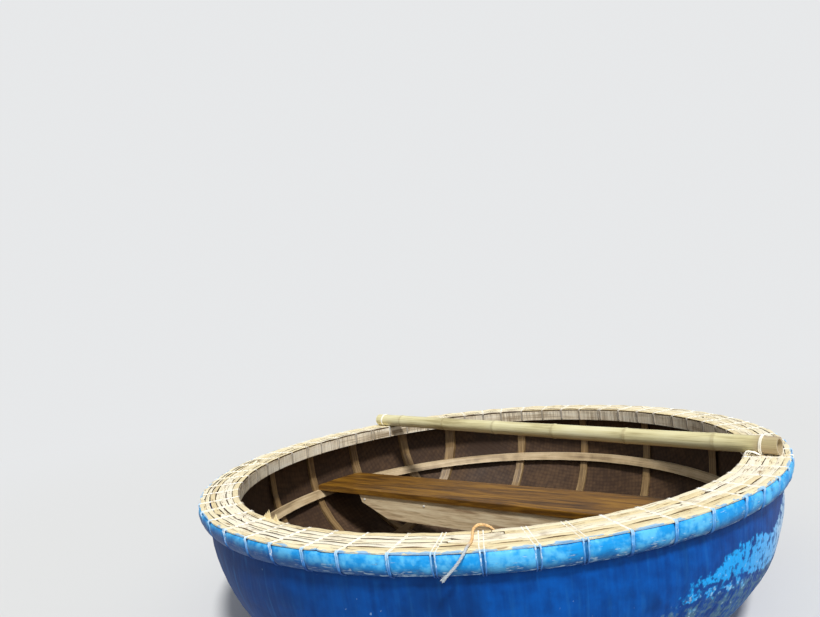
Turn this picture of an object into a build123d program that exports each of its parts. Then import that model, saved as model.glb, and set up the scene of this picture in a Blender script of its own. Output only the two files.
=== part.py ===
"""Basket boat (coracle): a round woven hull with a lashed bamboo gunwale, ribs, a bench and a cross pole.

Millimetres, +Z up. The origin is the middle of the flat bottom and X runs along the bench.
Every ring is turned about Z; the lattice ribs are cut from a shell that lines the hull. The bowl's
two arcs are stepped into short cones, so that hull, ribs and stringer seat on one another face to face.
"""

from build123d import *
import math
import os

# Hull: a flat disc, a shallow floor arc, a tight bilge arc and a straight upper wall
hull_radius = 1065.0
hull_wall = 12.0
floor_arc_radius = 1424.0
floor_arc_turn = 24.25
floor_arc_steps = 3
bilge_arc_radius = 432.0
bilge_arc_steps = 6
hull_top = 615.0

# Gunwale: bamboo bundles inside and outside the hull's edge, capped by split laths
rim_top = 620.0
lath_count = 7
lath_thickness = 5.0
lath_gap = 1.2
lath_band_inner = 963.0
lath_band_outer = 1096.5
inner_hoop_thickness = 13.5
gunwale_underside = 568.0
rail_underside = 556.0
rail_radius = 1100.0

# Lashings: a doubled cord round the whole gunwale, from hull face to hull face
lashing_count = 56
lashing_first_angle = -56.55
lashing_width_angle = 0.42
lashing_thickness = 3.0

# Lattice ribs: rows along X cross columns along Y, halved where they meet
rib_width = 36.0
rib_depth = 14.0
rib_top = 564.0
long_rib_rows = (-560.0, -280.0, 0.0, 280.0, 560.0)
cross_rib_columns = (-700.0, -350.0, 0.0, 350.0, 700.0)

# Stringer hoop inside the ribs, which carries the bench
stringer_depth = 18.0
stringer_height = 34.0

# Bench: a plank on the stringer with a stiffening board under each long edge
bench_top = 406.0
bench_thickness = 26.0
bench_front = 8.0
bench_back = 271.0
bench_end_clearance = 5.0
apron_thickness = 20.0
apron_setback = 8.0

# Cross pole: a bamboo culm laid over the rim, a little askew of the bench
pole_diameter = 60.0
pole_bore = 44.0
pole_bore_depth = 45.0
pole_ends = ((-955.0, 471.0), (1062.0, 106.0))
pole_node_spacing = 330.0
pole_node_height = 2.0
pole_node_length = 16.0
pole_tie_thickness = 4.0
pole_tie_length = 26.0
pole_tie_inset = 50.0

# Short natural-fibre rope from a knot on the inner hoop, over the rim and down the rub rail.
# Each point of the route is (angle round the boat in degrees, radius, height).
rope_diameter = 8.0
rope_sides = 8
rope_knot_radius = 14.0
rope_knot_height = 24.0
rope_route = (
    (-55.3, 948.5, 596.0),
    (-55.9, 951.0, 618.0),
    (-57.1, 957.0, 635.0),
    (-58.35, 966.0, 641.0),
    (-59.1, 984.0, 636.5),
    (-59.15, 1008.0, 629.0),
    (-59.25, 1048.0, 627.0),
    (-59.7, 1086.0, 630.5),
    (-60.15, 1107.0, 621.0),
    (-60.95, 1113.0, 601.0),
    (-61.9, 1113.0, 583.0),
    (-62.7, 1111.0, 568.0),
)

# Values worked out from the driving dimensions
floor_sine = math.sin(math.radians(floor_arc_turn))
floor_cosine = math.cos(math.radians(floor_arc_turn))
bottom_radius = hull_radius - bilge_arc_radius - (floor_arc_radius - bilge_arc_radius) * floor_sine
bilge_centre_radius = hull_radius - bilge_arc_radius
bilge_centre_height = floor_arc_radius * (1 - floor_cosine) + bilge_arc_radius * floor_cosine
bench_underside = bench_top - bench_thickness
lath_underside = rim_top - lath_thickness
hull_inner_radius = hull_radius - hull_wall
inner_hoop_radius = lath_band_inner + inner_hoop_thickness


def wall_radius(height, inset):
    """Radius of the hull's outer face, moved in by inset, at a height on the bilge arc."""
    drop = bilge_centre_height - height
    return bilge_centre_radius + math.sqrt((bilge_arc_radius - inset) ** 2 - drop**2)


def polar(angle, radius, height):
    """Point at an angle in degrees and a radius about Z."""
    turn = math.radians(angle)
    return Vector(radius * math.cos(turn), radius * math.sin(turn), height)


def wall_points(inset, top):
    """Half section of the hull's outer face moved in by inset, as (radius, height) from axis to top."""
    points = [(0, inset), (bottom_radius, inset)]
    arcs = (
        (bottom_radius, floor_arc_radius, floor_arc_radius, 0, floor_arc_turn, floor_arc_steps),
        (bilge_centre_radius, bilge_centre_height, bilge_arc_radius, floor_arc_turn, 90, bilge_arc_steps),
    )
    for centre_radius, centre_height, arc_radius, start_turn, end_turn, steps in arcs:
        for step in range(1, steps + 1):
            turn = math.radians(start_turn + (end_turn - start_turn) * step / steps)
            reach = arc_radius - inset
            points.append((centre_radius + reach * math.sin(turn), centre_height - reach * math.cos(turn)))
    points.append((hull_radius - inset, top))
    return points


def lining(outer_inset, inner_inset, top):
    """Turn a shell between two insets of the hull's outer face."""
    ring(*wall_points(outer_inset, top), *reversed(wall_points(inner_inset, top)))


def ring(*corners):
    """Turn a closed outline of (radius, height) corners into a ring about Z."""
    with BuildSketch(Plane.XZ) as section:
        with BuildLine():
            Polyline(*corners, close=True)
        make_face()
    revolve(section.sketch, axis=Axis.Z)


def band(inner, outer, low, high):
    """Turn a rectangular ring."""
    ring((inner, low), (outer, low), (outer, high), (inner, high))


def save(builder, label):
    """Label a finished piece and write its file."""
    builder.part.label = label
    export_step(builder.part, f"parts/{label}.step")


os.makedirs("parts", exist_ok=True)

# Woven bamboo hull, one skin from the middle of the bottom to the gunwale
with BuildPart() as basket_hull:
    lining(0, hull_wall, hull_top)
save(basket_hull, "basket_hull")

# Bundle of bamboo hoops inside the hull's edge
with BuildPart() as gunwale_core:
    band(inner_hoop_radius, hull_inner_radius, gunwale_underside, lath_underside)
save(gunwale_core, "gunwale_core")

# Split-bamboo hoop on edge that faces the inside of the boat
with BuildPart() as gunwale_inner_hoop:
    band(lath_band_inner, inner_hoop_radius, gunwale_underside, lath_underside)
save(gunwale_inner_hoop, "gunwale_inner_hoop")

# Outer bundle, a soft-cornered rub rail round the hull's edge
rail_corners = (
    (hull_radius, rail_underside),
    (rail_radius - 24, rail_underside),
    (rail_radius - 11, rail_underside + 10),
    (rail_radius - 2, rail_underside + 27),
    (rail_radius, lath_underside - 14),
    (lath_band_outer + 1, lath_underside),
)
with BuildPart() as rub_rail:
    ring(*rail_corners, (hull_radius, lath_underside))
save(rub_rail, "rub_rail")

# Split-bamboo laths laid flat round the top of the gunwale
lath_pitch = (lath_band_outer - lath_band_inner + lath_gap) / lath_count
for lath_index in range(lath_count):
    lath_start = lath_band_inner + lath_index * lath_pitch
    with BuildPart() as top_lath:
        band(lath_start, lath_start + lath_pitch - lath_gap, lath_underside, rim_top)
    save(top_lath, f"top_lath_{lath_index + 1}")

# Lashings, each an open band that hugs the rail, the laths, the inner hoop and the underside
with BuildPart() as rim_lashings:
    with BuildSketch(Plane.XZ) as lashing_section:
        with BuildLine():
            Polyline(
                *rail_corners,
                (lath_band_outer, rim_top),
                (lath_band_inner, rim_top),
                (lath_band_inner, gunwale_underside),
                (hull_inner_radius, gunwale_underside),
            )
            offset(amount=lashing_thickness, side=Side.RIGHT, kind=Kind.INTERSECTION)
        make_face()
    lashing = revolve(
        lashing_section.sketch, axis=Axis.Z, revolution_arc=lashing_width_angle, mode=Mode.PRIVATE
    )
    with PolarLocations(0, lashing_count, start_angle=lashing_first_angle):
        add(lashing)
save(rim_lashings, "rim_lashings")

# Lattice ribs: both sets line the hull, and each long rib gives up its inner half at a crossing
long_ribs = []
for row_index, row in enumerate(long_rib_rows):
    with BuildPart() as long_rib:
        lining(hull_wall, hull_wall + rib_depth, rib_top)
        with Locations((0, row, rim_top / 2)):
            Box(2 * hull_radius, rib_width, rim_top, mode=Mode.INTERSECT)
        with BuildPart(mode=Mode.PRIVATE) as crossings:
            lining(hull_wall + rib_depth / 2, hull_wall + 2 * rib_depth, rim_top)
            with Locations(*[(column, row, rim_top / 2) for column in cross_rib_columns]):
                Box(rib_width, 2 * rib_width, 2 * rim_top, mode=Mode.INTERSECT)
        add(crossings.part, mode=Mode.SUBTRACT)
    long_ribs.append(long_rib.part)
    save(long_rib, f"rib_long_{row_index + 1}")

for column_index, column in enumerate(cross_rib_columns):
    with BuildPart() as cross_rib:
        lining(hull_wall, hull_wall + rib_depth, rib_top)
        with Locations((column, 0, rim_top / 2)):
            Box(rib_width, 2 * hull_radius, rim_top, mode=Mode.INTERSECT)
        add(long_ribs, mode=Mode.SUBTRACT)
    save(cross_rib, f"rib_cross_{column_index + 1}")

# Stringer hoop inside the ribs, under the ends of the bench
with BuildPart() as stringer_hoop:
    lining(hull_wall + rib_depth, hull_wall + rib_depth + stringer_depth, rib_top)
    with Locations((0, 0, bench_underside - stringer_height / 2)):
        Cylinder(hull_radius, stringer_height, mode=Mode.INTERSECT)
save(stringer_hoop, "stringer_hoop")

# Bench plank, its ends cut to the curve of the hull
bench_middle = (bench_front + bench_back) / 2
bench_depth = bench_back - bench_front
bench_end_radius = wall_radius(bench_underside, hull_wall + rib_depth) - bench_end_clearance
with BuildPart() as bench_plank:
    with BuildSketch(Plane.XY.offset(bench_underside)):
        Circle(bench_end_radius)
        with Locations((0, bench_middle)):
            Rectangle(2 * hull_radius, bench_depth, mode=Mode.INTERSECT)
    extrude(amount=bench_thickness)
    fillet(bench_plank.faces().sort_by(Axis.Z)[-1].edges(), radius=4)
save(bench_plank, "bench_plank")

# Boards on edge under the plank, tapered towards the sides of the hull
apron_outline = ((735, 0), (718, -38), (560, -105), (-560, -105), (-718, -38), (-735, 0))
apron_faces = (
    ("bench_apron_front", bench_front + apron_setback + apron_thickness),
    ("bench_apron_rear", bench_back - apron_setback),
)
for apron_name, apron_far_face in apron_faces:
    apron_plane = Plane((0, apron_far_face, bench_underside), x_dir=(1, 0, 0), z_dir=(0, -1, 0))
    with BuildPart() as bench_apron:
        with BuildSketch(apron_plane):
            with BuildLine():
                Polyline(*apron_outline, close=True)
            make_face()
        extrude(amount=apron_thickness)
    save(bench_apron, apron_name)

# Cross pole: a culm with raised nodes and a short open bore at each cut end
pole_height = rim_top + pole_tie_thickness + pole_diameter / 2
pole_start = Vector(*pole_ends[0], pole_height)
pole_finish = Vector(*pole_ends[1], pole_height)
pole_length = (pole_finish - pole_start).length
pole_direction = (pole_finish - pole_start).normalized()
pole_axis = Axis(pole_start, pole_direction)
pole_section = Plane(pole_start, x_dir=pole_direction, z_dir=pole_direction.cross(Vector(0, 0, 1)))
pole_radius = pole_diameter / 2
node_total = int(pole_length // pole_node_spacing)
node_first = (pole_length - (node_total - 1) * pole_node_spacing) / 2

with BuildPart() as cross_pole:
    culm_outline = [(0, 0), (0, pole_radius)]
    for node_index in range(node_total):
        node_middle = node_first + node_index * pole_node_spacing
        culm_outline += [
            (node_middle - pole_node_length / 2, pole_radius),
            (node_middle, pole_radius + pole_node_height),
            (node_middle + pole_node_length / 2, pole_radius),
        ]
    culm_outline += [(pole_length, pole_radius), (pole_length, 0)]
    with BuildSketch(pole_section):
        with BuildLine():
            Polyline(*culm_outline, close=True)
        make_face()
    revolve(axis=pole_axis)
    for mouth, inward in ((pole_start, pole_direction), (pole_finish, -pole_direction)):
        with BuildSketch(Plane(mouth, z_dir=inward)):
            Circle(pole_bore / 2)
        extrude(amount=pole_bore_depth, mode=Mode.SUBTRACT)
save(cross_pole, "cross_pole")

# Cord collars that hold the pole to the gunwale, one near each end
tie_places = (
    ("pole_tie_left", pole_start, pole_direction),
    ("pole_tie_right", pole_finish, -pole_direction),
)
for tie_name, pole_end, inward in tie_places:
    with BuildPart() as pole_tie:
        with BuildSketch(Plane(pole_end + inward * pole_tie_inset, z_dir=inward)):
            Circle(pole_radius + pole_tie_thickness)
            Circle(pole_radius, mode=Mode.SUBTRACT)
        extrude(amount=pole_tie_length / 2, both=True)
    save(pole_tie, tie_name)

# Rope: straight runs joined by tangent arcs, each arc as large as its two runs allow
rope_points = [polar(*place) for place in rope_route]
rope_runs = [end - start for start, end in zip(rope_points, rope_points[1:])]
rope_radii = []
for run_before, run_after in zip(rope_runs, rope_runs[1:]):
    half_turn = math.radians(run_before.get_angle(run_after) / 2)
    shorter_run = min(run_before.length, run_after.length)
    rope_radii.append(0.45 * shorter_run / math.tan(half_turn))
print("rope runs", [round(run.length) for run in rope_runs])
print("rope radii", [round(radius) for radius in rope_radii])

with BuildPart() as tow_rope:
    with BuildLine() as rope_path:
        FilletPolyline(*rope_points, radius=rope_radii)
    rope_exit = Plane(rope_points[0], z_dir=rope_runs[0])
    with BuildSketch(rope_exit) as rope_section:
        RegularPolygon(rope_diameter / 2, rope_sides)
    sweep(path=rope_path.line)
save(tow_rope, "tow_rope")
rope_length = rope_path.wires()[0].length
rope_volume = rope_section.sketch.area * rope_length
print("rope length", round(rope_length, 1), "volume ratio", round(tow_rope.part.volume / rope_volume, 4))

# Knot that holds the rope on the face of the inner hoop: a barrel below the rope's exit
with BuildPart() as rope_knot:
    with BuildSketch(rope_exit):
        RegularPolygon(rope_knot_radius, 8)
    extrude(amount=-rope_knot_height)
    chamfer(rope_knot.faces().filter_by(Axis(rope_points[0], rope_runs[0])).edges(), length=5)
save(rope_knot, "rope_knot")
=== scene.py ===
"""Looks of a round basket boat, set on its measured frame.

Metres, +Z up and X along the bench. Angles round the boat are in degrees from +X.
"""

from __future__ import annotations

import logging
import math
from collections.abc import Callable, Sequence
from dataclasses import dataclass
from enum import Enum
from random import Random

import bpy
import numpy as np
from mathutils import Matrix, Vector

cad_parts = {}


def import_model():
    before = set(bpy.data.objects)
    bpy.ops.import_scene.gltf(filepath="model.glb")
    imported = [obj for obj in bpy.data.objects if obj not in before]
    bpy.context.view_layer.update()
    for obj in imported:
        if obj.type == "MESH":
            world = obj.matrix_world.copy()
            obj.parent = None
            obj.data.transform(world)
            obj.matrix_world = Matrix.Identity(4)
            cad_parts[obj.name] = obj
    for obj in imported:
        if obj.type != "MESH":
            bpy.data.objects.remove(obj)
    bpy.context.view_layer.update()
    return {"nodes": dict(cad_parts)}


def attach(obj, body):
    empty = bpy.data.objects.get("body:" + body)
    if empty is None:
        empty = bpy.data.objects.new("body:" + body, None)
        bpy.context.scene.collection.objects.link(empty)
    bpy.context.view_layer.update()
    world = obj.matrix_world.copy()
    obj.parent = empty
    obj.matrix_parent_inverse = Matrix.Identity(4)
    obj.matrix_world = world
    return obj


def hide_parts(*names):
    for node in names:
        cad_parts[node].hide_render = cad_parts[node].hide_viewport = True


LOG = logging.getLogger("basket_boat")
BODY = "root"
IMAGE_WIDTH = 820

RIM_TOP = 0.620
INNER_EDGE = 0.963
WATERLINE = 0.110
WEAVE_PITCH = 0.024
CORD_COVER = 0.0016
MERGE_REACH = 1e-5
TINY = 1e-6
# Radius where the laths' shade gives way to paint, and y where the near side gives way to the far
UNDER_LATHS = (1.084, 1.090)
NEAR_SIDE = (0.35, 0.60)
TIE_COUNT = 56
TIE_SEED = 7
TIE_PLAY = 0.5
NEAR_TIE_ANGLES = (
    -109.5, -102.1, -95.3, -89.4, -83.2, -77.4, -70.1, -64.1, -57.9,
    -51.1, -45.1, -38.9, -32.4, -25.9, -18.7, -13.6, -7.6, -1.6,
)

Pair = tuple[float, float]
Triple = tuple[float, float, float]
Colour = Triple
Outline = Sequence[Pair]
Route = Sequence[Vector]
Piece = bpy.types.Object
Material = bpy.types.Material
Socket = bpy.types.NodeSocket
Paint = Socket | Colour


class Slot(Enum):
    """Material slots of the record."""

    HULL_PAINT = "hull_paint"
    RAIL_PAINT = "rail_paint"
    DARK_BAMBOO = "bamboo_dark"
    LATH_BAMBOO = "lath_bamboo"
    CORD = "cord"
    RAW_WOOD = "raw_wood"
    POLE_BAMBOO = "pole_bamboo"
    ROPE_FIBRE = "rope_fibre"


def srgb(red: int, green: int, blue: int) -> Colour:
    """Turn a screen colour into linear light.

    Args:
        red: Red, 0 to 255.
        green: Green, 0 to 255.
        blue: Blue, 0 to 255.

    Returns:
        Linear red, green and blue, 0 to 1.
    """
    def linear(value: int) -> float:
        """Linear light of one channel."""
        share = value / 255
        return share / 12.92 if share <= 0.04045 else ((share + 0.055) / 1.055) ** 2.4

    return linear(red), linear(green), linear(blue)


class Value:
    """A number socket that Python's operators can be used on."""

    def __init__(self, shader: Shader, socket: Socket) -> None:
        """Keep the shader that owns the socket."""
        self.shader = shader
        self.socket = socket

    def _math(self, operation: str, *terms: Value | float) -> Value:
        """Add a Math node.

        Args:
            operation: What the node works out.
            *terms: Its inputs, in order.

        Returns:
            The node's result.
        """
        inputs = {index: term for index, term in enumerate(terms)}
        node = self.shader.node("ShaderNodeMath", {"operation": operation}, inputs)
        return Value(self.shader, node.outputs[0])

    def __add__(self, other: Value | float) -> Value:
        """Sum."""
        return self._math("ADD", self, other)

    def __radd__(self, other: float) -> Value:
        """Sum with a number on the left."""
        return self._math("ADD", other, self)

    def __sub__(self, other: Value | float) -> Value:
        """Difference."""
        return self._math("SUBTRACT", self, other)

    def __rsub__(self, other: float) -> Value:
        """Difference from a number."""
        return self._math("SUBTRACT", other, self)

    def __mul__(self, other: Value | float) -> Value:
        """Product."""
        return self._math("MULTIPLY", self, other)

    def __rmul__(self, other: float) -> Value:
        """Product with a number on the left."""
        return self._math("MULTIPLY", other, self)

    def __truediv__(self, other: Value | float) -> Value:
        """Quotient."""
        return self._math("DIVIDE", self, other)

    def __pow__(self, other: float) -> Value:
        """Power."""
        return self._math("POWER", self, other)

    def absolute(self) -> Value:
        """Size without sign."""
        return self._math("ABSOLUTE", self)

    def sine(self) -> Value:
        """Sine of radians."""
        return self._math("SINE", self)

    def floor(self) -> Value:
        """Whole number below."""
        return self._math("FLOOR", self)

    def larger(self, other: Value | float) -> Value:
        """The larger of two."""
        return self._math("MAXIMUM", self, other)

    def between(self, low: float, high: float, start: float = 0.0, end: float = 1.0) -> Value:
        """Follow a smooth step.

        Args:
            low: Value where the step starts.
            high: Value where the step ends.
            start: Result at and before low.
            end: Result at and after high.

        Returns:
            The stepped value.
        """
        node = self.shader.node(
            "ShaderNodeMapRange",
            {"interpolation_type": "SMOOTHSTEP"},
            {"Value": self, "From Min": low, "From Max": high, "To Min": start, "To Max": end},
        )
        return Value(self.shader, node.outputs[0])

    def fading(self, low: float, high: float) -> Value:
        """Smooth step down: 1 at and before low, 0 at and after high."""
        return self.between(low, high, 1.0, 0.0)

    def within(self, low: float, rise: float, fall: float, high: float) -> Value:
        """Window: 1 from rise to fall, easing to 0 at low and at high."""
        return self.between(low, rise) * self.fading(fall, high)


class Nodes:
    """The emptied node tree of a material or a world."""

    def __init__(self, owner: Material | bpy.types.World) -> None:
        """Empty the owner's tree.

        Args:
            owner: The material or the world.
        """
        owner.use_nodes = True
        self.tree = owner.node_tree
        self.tree.nodes.clear()

    def node(
        self, kind: str, settings: dict | None = None, inputs: dict | None = None
    ) -> bpy.types.Node:
        """Add a node, set its options first and then its sockets.

        Args:
            kind: Blender's node type.
            settings: Options by attribute name; ramp stops come as a list under "stops".
            inputs: Constants, sockets or Values by socket name or index.

        Returns:
            The new node.
        """
        node = self.tree.nodes.new(kind)
        for key, option in (settings or {}).items():
            if key == "stops":
                self._set_stops(node.color_ramp, option)
            else:
                setattr(node, key, option)
        for key, given in (inputs or {}).items():
            target = node.inputs[key]
            if isinstance(given, Value):
                given = given.socket
            if isinstance(given, Socket):
                self.tree.links.new(given, target)
            elif target.type == "RGBA" and len(given) == 3:
                target.default_value = (*given, 1.0)
            else:
                target.default_value = given
        return node

    @staticmethod
    def _set_stops(ramp: bpy.types.ColorRamp, stops: Sequence[tuple[float, Colour]]) -> None:
        """Give a colour ramp its stops.

        Args:
            ramp: The ramp.
            stops: Position and colour of each stop.
        """
        while len(ramp.elements) < len(stops):
            ramp.elements.new(1.0)
        for element, (position, colour) in zip(ramp.elements, stops):
            element.position = position
            element.color = (*colour, 1.0)


class Shader(Nodes):
    """A material under construction, with the object's own coordinates at hand."""

    def __init__(self, name: str) -> None:
        """Start an empty material.

        Args:
            name: The material's name.
        """
        self.material = bpy.data.materials.new(name)
        super().__init__(self.material)
        self.place = self.node("ShaderNodeTexCoord").outputs["Object"]
        split = self.node("ShaderNodeSeparateXYZ", None, {0: self.place})
        self.x, self.y, self.z = (Value(self, socket) for socket in split.outputs)

    def radius(self) -> Value:
        """Distance from the boat's upright axis."""
        return (self.x * self.x + self.y * self.y) ** 0.5

    def angle(self) -> Value:
        """Angle round the boat.

        Returns:
            Degrees from +X, -180 to 180.
        """
        inputs = {0: self.y, 1: self.x}
        node = self.node("ShaderNodeMath", {"operation": "ARCTAN2"}, inputs)
        return Value(self, node.outputs[0]) * math.degrees(1.0)

    def leftward(self, full: float, none: float) -> Value:
        """1 left of one angle on the near side, 0 right of a second and round the far side."""
        return self.angle().within(-172.0, -132.0, full, none)

    def attribute(self, name: str) -> Value:
        """Number stored on the mesh under a name."""
        node = self.node("ShaderNodeAttribute", {"attribute_name": name})
        return Value(self, node.outputs["Fac"])

    def vector(self, x: Value | float, y: Value | float, z: Value | float) -> Socket:
        """Join three numbers into a vector."""
        return self.node("ShaderNodeCombineXYZ", None, {0: x, 1: y, 2: z}).outputs[0]

    def noise(
        self,
        scale: float,
        detail: float = 3.0,
        where: Socket | None = None,
        w: Value | float | None = None,
    ) -> Value:
        """Add a noise texture.

        Args:
            scale: Waves to the metre, or to one unit of where.
            detail: Octaves.
            where: Coordinates; the object's own if left out.
            w: Fourth coordinate, for seamless patterns round a ring.

        Returns:
            The noise, about 0 to 1.
        """
        settings = {"noise_dimensions": "3D" if w is None else "4D"}
        inputs = {"Vector": where or self.place, "Scale": scale, "Detail": detail}
        if w is not None:
            inputs["W"] = w
        return Value(self, self.node("ShaderNodeTexNoise", settings, inputs).outputs[0])

    def round_grain(self, along: float, across: float, detail: float = 3.0) -> Value:
        """Noise drawn out round the boat's axis.

        Args:
            along: Waves to one turn, about, round the boat.
            across: Waves to the metre in radius and height.
            detail: Octaves.

        Returns:
            The noise, about 0 to 1.
        """
        reach = self.radius()
        where = self.vector(self.x / reach * along, self.y / reach * along, self.z * across)
        return self.noise(1.0, detail, where, reach * across)

    def stretched(self, x: float, y: float, z: float, detail: float = 3.0) -> Value:
        """Noise with its own scale along each axis."""
        where = self.vector(self.x * x, self.y * y, self.z * z)
        return self.noise(1.0, detail, where)

    def ramp(self, factor: Value, stops: Sequence[tuple[float, Colour]]) -> Socket:
        """Colour a number by stops."""
        return self.node("ShaderNodeValToRGB", {"stops": stops}, {0: factor}).outputs[0]

    def mix(self, factor: Value, first: Paint, second: Paint) -> Socket:
        """Blend two colours.

        Args:
            factor: Share of the second, 0 to 1.
            first: Colour at 0.
            second: Colour at 1.

        Returns:
            The blend.
        """
        node = self.node(
            "ShaderNodeMix", {"data_type": "RGBA"}, {0: factor, 6: first, 7: second}
        )
        return node.outputs[2]

    def layered(self, base: Paint, *layers: tuple[Value, Paint]) -> Paint:
        """Lay colours over a base in turn.

        Args:
            base: What lies under them.
            *layers: Share of 0 to 1 and colour of each, from the bottom up.

        Returns:
            The colour on top.
        """
        for share, colour in layers:
            base = self.mix(share, base, colour)
        return base

    def bump(self, height: Value, depth: float) -> Socket:
        """Raise the surface by a height of 0 to 1, depth metres at most."""
        inputs = {"Height": height, "Distance": depth, "Strength": 1.0}
        return self.node("ShaderNodeBump", None, inputs).outputs[0]

    def finish(
        self,
        colour: Paint,
        roughness: Value | float,
        normal: Socket | None = None,
        **constants: float,
    ) -> Material:
        """Close the material with a principled surface.

        Args:
            colour: Base colour.
            roughness: Roughness.
            normal: Bumped normal, if any.
            **constants: Further sockets, with underscores for spaces.

        Returns:
            The material.
        """
        inputs: dict = {"Base Color": colour, "Roughness": roughness}
        if normal is not None:
            inputs["Normal"] = normal
        for key, number in constants.items():
            inputs[key.replace("_", " ").title().replace("Ior", "IOR")] = number
        surface = self.node("ShaderNodeBsdfPrincipled", None, inputs)
        self.node("ShaderNodeOutputMaterial", None, {"Surface": surface.outputs[0]})
        return self.material


@dataclass(frozen=True)
class HullPaint:
    """Deep blue paint, mottled and streaked, rubbed pale on its weave where the boat scrapes."""

    deep: Colour = srgb(0, 58, 130)
    light: Colour = srgb(2, 86, 174)
    # Darker mottling, and the painted shade on the left and under the rail
    shade: Colour = srgb(2, 46, 100)
    scuff: Colour = srgb(26, 164, 240)
    faded: Colour = srgb(44, 124, 186)
    bleach: Colour = srgb(122, 188, 240)
    bare: Colour = srgb(212, 220, 218)
    silt: Colour = srgb(92, 130, 134)
    chalk: Colour = srgb(176, 212, 234)

    def build(self) -> Material:
        """Make the material.

        Returns:
            The material.
        """
        shader = Shader("hull_paint")
        weave = weave_height(shader)
        streaks = shader.round_grain(60.0, 1.2)
        clouds = shader.noise(2.6, 5.0)
        fine = shader.noise(26.0, 5.0)
        tone = streaks * 0.25 + clouds * 0.45 + fine * 0.3
        drips = shader.round_grain(70.0, 7.0, 6.0).between(0.50, 0.72)
        # Painted shade: the left of the hull is darkened, more so towards the top
        left_shade = shader.leftward(-112.0, -46.0) * shader.z.between(0.2, 0.56, 0.54, 0.90)
        # Painted shadow: a darker line on the hull just under the rub rail
        darkened = (shader.z + (fine - 0.5) * 0.03).between(0.538, 0.556) * 0.6
        body = shader.layered(
            self.deep,
            (tone.between(0.38, 0.64), self.light),
            (shader.noise(7.0, 4.0).between(0.52, 0.7) * 0.5, self.shade),
            (drips * 0.14, self.faded),
            (left_shade, self.shade),
            (drips * shader.leftward(-104.0, -78.0) * 0.22, self.faded),
            (darkened, self.shade),
        )
        grain = (weave - 0.7) * 0.25 + (fine - 0.5) * 2.2 + (shader.noise(60.0, 4.0) - 0.5) * 2.2
        patch = self.patch(shader)
        wear = self.wear(shader)
        rubbed = (patch * 0.9 + grain).between(0.34, 0.84) * patch.between(0.02, 0.30)
        rubbed = rubbed * shader.noise(38.0, 3.0).between(0.38, 0.46, 0.2, 1.0)
        silted = (wear * 0.5 + grain * 0.8).between(0.26, 0.70) * wear.between(0.0, 0.25) * 0.62
        turn = shader.angle()
        edge = turn.between(-20.0, -11.0) * shader.z.between(0.350, 0.372)
        bleached = turn.between(-19.0, -5.0) * shader.z.between(0.52, 0.42, 0.35, 1.0)
        specks = (shader.noise(85.0, 4.0) - 0.5) * 1.2
        crumbs = self.row(shader) * 0.26 + wear * 0.10 + patch * 0.08 + grain * 0.5 + specks
        crumbs = crumbs.between(0.34, 0.60) * wear.larger(patch).between(0.0, 0.25)
        flecks = (shader.noise(44.0, 5.0) * 0.75 + clouds * 0.3).between(0.69, 0.74)
        colour = shader.layered(
            body,
            (silted, self.silt),
            (silted * edge * 0.8, self.bleach),
            (rubbed, self.scuff),
            (rubbed * bleached * 0.75, self.bleach),
            (rubbed * turn.between(-8.0, 1.0) * 0.6, self.bare),
            (crumbs * 0.65, self.chalk),
            (flecks * 0.45, self.chalk),
        )
        height = weave * (patch.larger(wear) * 0.4 + 0.12) + fine * 0.3
        roughness = clouds.between(0.3, 0.7, 0.50, 0.66)
        return shader.finish(colour, roughness, shader.bump(height, 0.0022), specular_ior_level=0.1)

    def lane(self, shader: Shader) -> Value:
        """Height of the lane of sound paint that parts the long patch from the row below it.

        Args:
            shader: The material it belongs to.

        Returns:
            The height in metres.
        """
        wander = (shader.noise(9.0, 3.0) - 0.5) * 0.02
        turn = shader.angle()
        drop = turn.between(-30.0, -20.0, 0.017, 0.0) + turn.between(-20.0, -8.0, 0.0, -0.050)
        return drop + wander + 0.400

    def patch(self, shader: Shader) -> Value:
        """Where the boat scrapes most: a long patch that climbs away from the rope.

        Args:
            shader: The material it belongs to.

        Returns:
            1 where it is rubbed most, 0 outside.
        """
        turn = shader.angle()
        upper = turn.between(-30.0, -16.0, 0.446, 0.494) + turn.between(-14.0, -7.0, 0.0, -0.030)
        upper = upper + turn.between(-6.0, 4.0, 0.0, 0.060) + turn.between(8.0, 32.0, 0.0, -0.130)
        top = (upper - shader.z).between(-0.010, 0.022)
        bottom = (shader.z - self.lane(shader)).between(0.0, 0.016, 0.30, 1.0)
        ends = turn.within(-33.0, -27.0, 22.0, 34.0)
        deep = shader.z.between(0.335, 0.375)
        return (top * bottom * deep * ends).larger(self.row(shader))

    def row(self, shader: Shader) -> Value:
        """Broken row of rubbed clumps below the lane.

        Args:
            shader: The material it belongs to.

        Returns:
            1 where it is rubbed most, 0 outside.
        """
        off = (shader.z - self.lane(shader) + 0.020).absolute()
        turn = shader.angle()
        ends = turn.within(-34.0, -29.0, -21.0, -13.0)
        clumps = shader.noise(20.0, 3.0).between(0.44, 0.56, 0.35, 1.0)
        return off.fading(0.006, 0.022) * ends * clumps

    def wear(self, shader: Shader) -> Value:
        """Mottled grey wear low on the hull, thickest below the long patch.

        Args:
            shader: The material it belongs to.

        Returns:
            1 where it is thickest, 0 outside.
        """
        turn = shader.angle()
        below = turn.within(-44.0, -26.0, 14.0, 34.0)
        band = shader.z.within(0.16, 0.26, 0.36, 0.41)
        low = shader.z.fading(0.22, 0.36) * shader.noise(3.4, 4.0).between(0.44, 0.60)
        return (below * band).larger(low * 0.8)


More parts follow.
